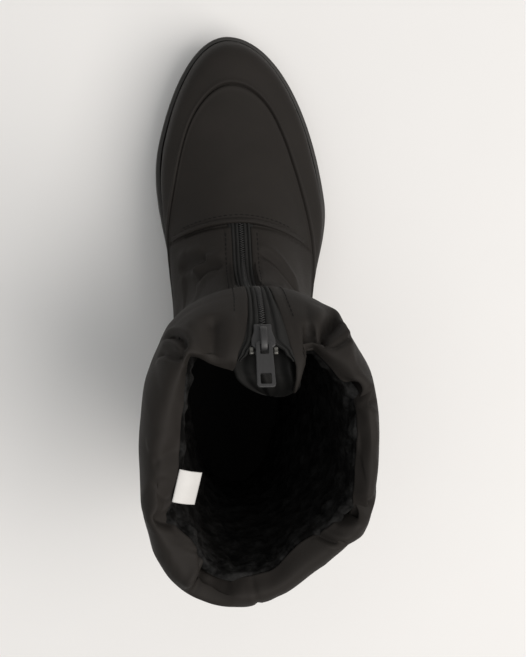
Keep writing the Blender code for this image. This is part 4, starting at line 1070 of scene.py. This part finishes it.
def build_outsole(material):
    """Cup sole, lofted along the boot.

    Each section is a chevron like the tread's bars, which straighten towards the toe: the underside from edge
    to edge, then up the outer side past its groove, over the rim into the cup, across the bed, and down the
    inner side.
    """
    span, soft, width = TREAD["half_span"], TREAD["round"], TREAD["width"]
    starts = tread_starts()
    corners = np.concatenate([starts, starts + width])
    near_corner = (corners[:, None] + soft * np.array([-1.0, -0.35, 0.35, 1.0])).ravel()
    sides = {}
    for name, front in (("outer", 0.0), ("inner", 2 * math.pi)):
        angle = np.linspace(front, math.pi, 3000)
        x, y, _ = sole_edge(angle)[0].T
        sides[name] = angle, np.minimum.accumulate(y - sweep(y) * (1 - np.abs(x) / span))
    top, bottom = sides["outer"][1][0], sides["outer"][1][-1]
    spread = (top + bottom) / 2 + (top - bottom) / 2 * np.cos(np.linspace(0.0, math.pi, 170))
    inside_run = near_corner[(near_corner < top - 1.0) & (near_corner > bottom + 1.0)]
    chevrons = np.unique(np.round(np.concatenate([spread, inside_run]), 3))[::-1]
    cut = np.zeros_like(chevrons)
    for start in starts:
        cut += (smoothstep(start - soft, start + soft, chevrons)
                - smoothstep(start + width - soft, start + width + soft, chevrons))
    cut *= TREAD["depth"]
    walls = {}
    for name, (angle, chevron) in sides.items():
        edge, outward = sole_edge(np.interp(-chevrons, -chevron, angle))
        base, rim = ground(edge[:, 1]), edge[:, 2] + CUP_WALL
        heights = {"ground": base + cut, "groove": base * (1 - GROOVE_SHARE) + rim * GROOVE_SHARE, "rim": rim,
                   "bed": edge[:, 2] - BED_DROP}
        wall = [edge + outward * step for step, _, _ in SOLE_PROFILE]
        for ring, (_, level, rise) in zip(wall, SOLE_PROFILE):
            ring[:, 2] = heights[level] + rise
        walls[name] = np.stack(wall, axis=1)
    share = np.linspace(0.0, 1.0, 21)[None, 1:-1, None]
    ends = walls["inner"][:, :1], walls["outer"][:, :1]
    underside = ends[0] * (1 - share) + ends[1] * share
    reach = sweep(0.5 * (ends[0] + ends[1])[..., 1])
    bow = [reach * (1 - np.abs(some[..., 0]) / span) for some in (underside, *ends)]
    underside[..., 1] += bow[0] - bow[1] * (1 - share[..., 0]) - bow[2] * share[..., 0]
    underside[..., 2] = ground(underside[..., 1]) + cut[:, None]
    share = np.linspace(0.0, 1.0, 9)[None, 1:-1, None]
    bed = walls["outer"][:, -1:] * (1 - share) + walls["inner"][:, -1:] * share
    sections = np.concatenate([underside, walls["outer"], bed, walls["inner"][:, ::-1]], axis=1)
    points, faces = swept(sections)
    return piece("outsole_cup", points, faces, material, "sole_rubber", ["outsole"], weld=0.004, sharp=38)


def build_insole(material):
    """Footbed: sections from side to side between the lining's lower edges, crowned, on a flat base."""
    way = np.linspace(INSOLE["ends"], math.pi - INSOLE["ends"], 80)
    turns = np.stack([way, 2 * math.pi - way])
    outer, inner = lining_form(np.full(2, INSOLE["level"]), turns)[:, :, None]
    base = [sole_edge(turn)[0][:, None, 2] for turn in turns]
    share, crown = np.array(INSOLE_CROWN).T
    top = outer * (1 - share[:, None]) + inner * share[:, None]
    bottom = top[:, ::-1].copy()
    bed = base[0] * (1 - share) + base[1] * share
    top[..., 2] = bed + crown
    bottom[..., 2] = bed[:, ::-1] + INSOLE["under"]
    points, faces = swept(np.concatenate([top, bottom], axis=1))
    return piece("felt_insole", points, faces, material, "insole_felt", ["insole"])


# Zip

def slider_axes():
    """Place of the slider, with its axes to the inner side, up the zip and outwards."""
    points, _, normals = front_line(np.linspace(SLIDER_LEVEL - 0.01, SLIDER_LEVEL + 0.01, 3))
    aside = np.array([-1.0, 0.0, 0.0])
    return points[1], np.stack([aside, np.cross(normals[1], aside), normals[1]])


def on_slider(points):
    """Points given in the slider's own axes, in the boot's frame."""
    origin, axes = slider_axes()
    return origin + np.reshape(points, (-1, 3)) @ axes


def front_path(low, high, count):
    """Evenly spaced levels up the front between two levels, with points, tangents, normals and the length."""
    levels = np.linspace(low, high, 1200)
    run = run_along(front_line(levels)[0])
    even = np.interp(np.linspace(0.0, run[-1], count), run, levels)
    return (even, *front_line(even), run[-1])


def build_chain(material, throat):
    """Zip chain: on each side a wire coil, a flattened helix up the front.

    The two are half a turn out of step.
    """
    *_, length = front_path(throat + ZIP_FOOT, SLIDER_LEVEL, 2)
    turns = length / CHAIN["pitch"]
    _, points, tangents, normals, _ = front_path(throat + ZIP_FOOT, SLIDER_LEVEL, int(turns * CHAIN["steps"]))
    phase = np.linspace(0.0, 2 * math.pi * turns, len(points))
    coils = []
    for side, start in ((-1.0, 0.0), (1.0, math.pi)):
        aside = side * (CHAIN["reach"] - CHAIN["overlap"] + CHAIN["reach"] * np.cos(phase + start))
        out = CHAIN["out"] + CHAIN["height"] * np.sin(phase + start)
        path = points + aside[:, None] * np.array(ASIDE) + normals * out[:, None]
        coils.append(bar(path, tangents, CHAIN["wire"], CHAIN["wire"], sides=6))
    return piece("zip_coils", *joined(coils), material, "zip_coil", ["zip_chain"])


def build_tapes(material, throat):
    """Woven tapes: strips with two raised ribs, from beside the coils out under the lips.

    Above the slider they part, and their ends are tucked under the lips.
    """
    tapes = []
    levels, points, _, normals, _ = front_path(throat + ZIP_FOOT, TAPE["top"], TAPE["rows"])
    parts, tucks = (smoothstep(SLIDER_LEVEL + low, SLIDER_LEVEL + high, levels)
                    for low, high in (TAPE["parts"], TAPE["tucks"]))
    across, rise = np.array(TAPE_PROFILE).T
    across = np.concatenate([across, across[::-1]])
    rise = np.concatenate([rise, np.full_like(rise, TAPE["under"])])
    for side, name, node in ((-1.0, "inner", "zip_tape_medial"), (1.0, "outer", "zip_tape_lateral")):
        half = opening_half(levels, name)
        near = TAPE["near"] + (half - TAPE["parted"] - TAPE["near"]) * parts
        near = near + (half - TAPE["tucked"] - near) * tucks
        aside = side * (near[:, None] + (half + TAPE["over"] - near)[:, None] * across)
        sections = (points[:, None] + aside[..., None] * np.array(ASIDE)
                    + normals[:, None] * (TAPE["out"] + rise)[None, :, None])
        along = np.broadcast_to(levels[:, None] * TAPE["level_length"], aside.shape)
        uv = np.stack([np.abs(aside), along], axis=-1) * MM
        name = node.replace("zip_tape", "woven_tape")
        tapes.append(piece(name, *swept(sections), material, "zip_tape", [node], uv=uv))
    return tapes


def build_gusset(material, throat):
    """Gusset: a strip of cloth behind the zip that falls into soft pleats at the mouth and hangs over inside.

    Its middle leans to the outer side at the mouth, its end is a half ellipse, and its pleats are a sum of
    cosines across it.
    """
    top, end = GUSSET["top"], GUSSET["end"]
    levels = np.linspace(throat + 0.05, top, 130)
    points, _, normals = front_line(levels)
    mouth = smoothstep(ROW["collar_low"], ROW["crest"], levels)[:, None]
    points = points - normals * GUSSET["behind"] * (1 - mouth) + GUSSET_MOUTH * mouth
    hang = np.sin(np.linspace(0.0, math.pi / 2, 40))[1:, None]
    path = np.concatenate([points, points[-1] + hang * GUSSET_FALL + hang**2 * GUSSET_DROOP])
    normals = unit(np.cross(unit(np.gradient(path, axis=0)), ASIDE))
    level = np.concatenate([levels, top + (end - top) * hang[:, 0]])
    inner, outer = (opening_half(level, side) for side in ("inner", "outer"))
    path[:, 0] += (outer - inner) / 2 + GUSSET["lean"] * smoothstep(GUSSET["leans_from"], end, level)
    rounding = np.clip((level - GUSSET["rounds_from"]) / (end - GUSSET["rounds_from"]), 0.0, 0.985)
    taper = np.sqrt(1 - rounding**2)
    half = ((inner + outer) / 2 + GUSSET["over"]) * taper
    u = np.linspace(-1.0, 1.0, 49)
    waves = sum(rise * np.cos(pace * u + start) for rise, pace, start in PLEATS)
    loose = smoothstep(*GUSSET["loose"], level)[:, None]
    pleats = loose * taper[:, None] * (waves - PLEAT_EDGE * u**4 + PLEAT_TILT * u)
    front = (path[:, None] + (half[:, None] * u)[..., None] * np.array(ASIDE)
             + normals[:, None] * pleats[..., None])
    back = front - normals[:, None] * GUSSET["thick"]
    sections = np.concatenate([front, back[:, ::-1]], axis=1)
    along = np.broadcast_to(level[:, None] * GUSSET["level_length"], sections.shape[:2])
    uv = np.stack([sections[..., 0], along], axis=-1) * MM
    return piece("zip_gusset_cloth", *swept(sections), material, "padded_nylon", ["zip_gusset"], uv=uv)


def rounded_plate(outline, low, high, edge):
    """A flat plate with rounded rims: rings of its outline, drawn in along a quarter circle at both faces."""
    along = np.roll(outline, -1, axis=0) - np.roll(outline, 1, axis=0)
    inward = unit(np.stack([-along[:, 1], along[:, 0]], axis=-1))
    turn = np.linspace(0.0, math.pi / 2, 5)
    inset = edge * np.concatenate([1 - np.sin(turn), 1 - np.cos(turn)])
    height = np.concatenate([low + edge * (1 - np.cos(turn)), high - edge * (1 - np.sin(turn))])
    flat = outline[None] + inward[None] * inset[:, None, None]
    height = np.broadcast_to(height[:, None, None], flat.shape[:2] + (1,))
    return swept(np.concatenate([flat, height], axis=-1))


def rounded_corners(corners, radius, steps=6):
    """A closed outline, anticlockwise, with an arc at each of its corners."""
    arcs = []
    corners = np.asarray(corners, float)
    for before, corner, after in zip(np.roll(corners, 1, axis=0), corners, np.roll(corners, -1, axis=0)):
        back, ahead = unit(before - corner), unit(after - corner)
        half_turn = math.acos(float(np.clip(back @ ahead, -1, 1))) / 2
        centre = corner + unit(back + ahead) * radius / math.sin(half_turn)
        start = corner + back * radius / math.tan(half_turn) - centre
        swing = np.linspace(0.0, math.pi - 2 * half_turn, steps)
        arcs.append(centre + np.stack([start[0] * np.cos(swing) - start[1] * np.sin(swing),
                                       start[0] * np.sin(swing) + start[1] * np.cos(swing)], axis=-1))
    return np.concatenate(arcs)


def slider_outline():
    """Plan of the slider: square where the closed chain enters, wide at its shoulders, with a short neck."""
    plan = SLIDER_PLAN
    y = plan["middle"] - plan["half_long"] * np.cos(np.linspace(0.0, math.pi, 44))
    half = (plan["half_wide"] + plan["shoulder"] * smoothstep(*plan["shoulders"], y)
            - plan["neck"] * smoothstep(*plan["necks"], y))
    past = np.maximum((plan["square_from"] - y) / plan["square"], (y - plan["round_from"]) / plan["round"])
    drawn_in = np.where(y > 0, plan["round_in"], plan["square_in"])
    half = half * (1 - drawn_in * (1 - np.sqrt(1 - np.clip(past, 0.0, 1.0) ** 2)))
    right, left = np.stack([half, y], axis=-1), np.stack([-half, y], axis=-1)
    return np.concatenate([right, left[::-1]])


def build_slider(material):
    """Slider: two rounded plates on a post, small side rails and the arched bridge for the tab."""
    parts = [rounded_plate(slider_outline(), *plate) for plate in SLIDER_PLATES]
    parts.append(rounded_plate(rounded_corners(SLIDER_POST, CORNERS["post"]), *POST_PLATE))
    y = np.linspace(RAIL["from"], RAIL["to"], 16)
    for side in (-1.0, 1.0):
        x = side * (RAIL["aside"] + RAIL["flare"] * smoothstep(*RAIL["flares"], y))
        path = np.stack([x, y, np.full_like(y, RAIL["out"])], axis=-1)
        parts.append(bar(path, UP, RAIL["half_wide"], RAIL["half_high"], power=3.0))
    way = np.linspace(0.0, math.pi, 30)
    arch = np.stack([0 * way, BRIDGE["middle"] - BRIDGE["half_long"] * np.cos(way),
                     BRIDGE["foot"] + BRIDGE["rise"] * np.sin(way) ** BRIDGE["square"]], axis=-1)
    parts.append(bar(arch, ASIDE, BRIDGE["half_thick"], BRIDGE["half_wide"], sides=14, power=3.6))
    points, faces = joined(parts)
    points = on_slider(points)
    return piece("zip_slider_body", points, faces, material, "zip_lacquer", ["zip_slider"], sharp=50)


def build_pull_tab(material):
    """Pull tab: a flat plate, wider at its end, cut out round the bridge and with a window near the end."""
    plates = {"pull_plate": rounded_plate(rounded_corners(TAB_PLAN, CORNERS["tab"], 8), *TAB_PLATE)}
    for name, hole in TAB_HOLES.items():
        plates[name] = rounded_plate(rounded_corners(hole, CORNERS["hole"]), *HOLE_PLATE)
    tab, *cutters = [
        piece(name, on_slider(points + TAB_PIVOT), faces, material, "zip_lacquer", body="pull_tab")
        for name, (points, faces) in plates.items()
    ]
    for cutter in cutters:
        cut = tab.modifiers.new("cut", "BOOLEAN")
        cut.operation = "DIFFERENCE"
        cut.object = cutter
    shape = bpy.data.meshes.new_from_object(tab.evaluated_get(bpy.context.evaluated_depsgraph_get()))
    tab.modifiers.clear()
    tab.data = shape
    shape.shade_smooth()
    shape.set_sharp_from_angle(angle=math.radians(40))
    for cutter in cutters:
        bpy.data.objects.remove(cutter)
    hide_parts("zip_pull_tab")
    return tab


def build_top_stops(material):
    """Crimped stops: short rounded clips over the top of each tape, with a pressed waist."""
    stops = []
    y = np.linspace(STOP["from"], STOP["to"], 14)
    away = y - STOP["middle"]
    press = 1 - STOP["waist"] * bell(away, STOP["waist_half"])
    press = press - STOP["end_in"] * smoothstep(*STOP["ends"], np.abs(away))
    sizes = STOP["half_wide"] * press, STOP["half_high"] * press
    for side, node in ((1.0, "zip_top_stop_medial"), (-1.0, "zip_top_stop_lateral")):
        path = np.stack([np.full_like(y, side * STOP["aside"]), y, np.full_like(y, STOP["out"])], axis=-1)
        points, faces = bar(path, UP, *sizes, sides=14, power=3.4)
        name = node.replace("zip_", "clip_")
        stops.append(piece(name, on_slider(points), faces, material, "zip_lacquer", [node]))
    return stops


def build_label(material):
    """Small woven label, bare: a doubled strip caught under the collar's lip, bent down at its free edge."""
    u, v = np.meshgrid(np.linspace(0.0, 1.0, 24), np.linspace(0.0, 1.0, 18), indexing="ij")
    front = LABEL_FRONT + (LABEL_BACK - LABEL_FRONT) * u[..., None] + LABEL_REACH * v[..., None]
    front[..., 2] += (LABEL["swell"] * np.sin(math.pi * v) - LABEL["droop"] * v ** LABEL["curve"]
                      + LABEL["wave"] * np.sin(LABEL["pace"] * u + LABEL["start"]) * v)
    thick = LABEL["thick"] + LABEL["hem"] * bell(v - 1.0, LABEL["hem_half"])
    back = front - np.array(UP) * thick[..., None]
    sections = np.concatenate([front, back[:, ::-1]], axis=1)
    uv = np.stack([u, v], axis=-1)
    uv = np.concatenate([uv, uv[:, ::-1]], axis=1) * LABEL_SIZE * MM
    return piece("satin_label", *swept(sections), material, "label_satin", ["label"], uv=uv)


# Floor, light and camera

def build_studio():
    """Pale floor, soft light from above and from the outer side, and the camera high over the boot."""
    scene = bpy.context.scene
    scene.view_settings.view_transform = "Standard"
    mesh = bpy.data.meshes.new("floor")
    corners = [(x * FLOOR_HALF, y * FLOOR_HALF, 0) for x, y in ((-1, -1), (1, -1), (1, 1), (-1, 1))]
    mesh.from_pydata(corners, [], [(0, 1, 2, 3)])
    mesh.materials.append(studio_paper())
    floor = bpy.data.objects.new("floor", mesh)
    scene.collection.objects.link(floor)
    scene.world = bpy.data.worlds.new("studio")
    scene.world.use_nodes = True
    surround = scene.world.node_tree.nodes["Background"].inputs
    surround["Color"].default_value = linear(SURROUND["colour"])
    surround["Strength"].default_value = SURROUND["strength"]
    for name, (place, size, power, colour) in LIGHTS.items():
        light = bpy.data.lights.new(name, "AREA")
        light.energy, light.size, light.color = power, size, linear(colour)[:3]
        lamp = bpy.data.objects.new(name, light)
        lamp.location = place
        lamp.rotation_euler = (LIGHT_AIM - Vector(place)).to_track_quat("-Z", "Y").to_euler()
        scene.collection.objects.link(lamp)
    lens = bpy.data.cameras.new("camera")
    lens.lens, lens.sensor_width, lens.clip_start = CAMERA["lens"], CAMERA["sensor"], CAMERA["near"]
    camera = bpy.data.objects.new("camera", lens)
    camera.location = CAMERA["place"]
    gaze = Vector(CAMERA["gaze"]).normalized()
    right = gaze.cross(Vector((0.0, 1.0, 0.0))).normalized()
    turn = camera.rotation_euler.to_matrix()
    turn.col[0], turn.col[1], turn.col[2] = right, right.cross(gaze), -gaze
    camera.rotation_euler = turn.to_euler()
    scene.collection.objects.link(camera)
    scene.camera = camera


def main():
    """Builds the studio and every piece."""
    build_studio()
    nylon, lacquer = woven_nylon(), lacquered_zinc()
    shell = build_shell(nylon)
    build_lining(curly_pile())
    build_vamp_edge(nylon)
    build_stitches(sewing_thread(), shell)
    build_outsole(moulded_rubber())
    build_insole(pressed_felt())
    build_chain(coil_nylon(), shell["throat"])
    build_tapes(woven_zip_tape(), shell["throat"])
    build_gusset(lining_taffeta(), shell["throat"])
    build_slider(lacquer)
    build_pull_tab(lacquer)
    build_top_stops(pressed_nickel())
    build_label(satin_ribbon())


main()
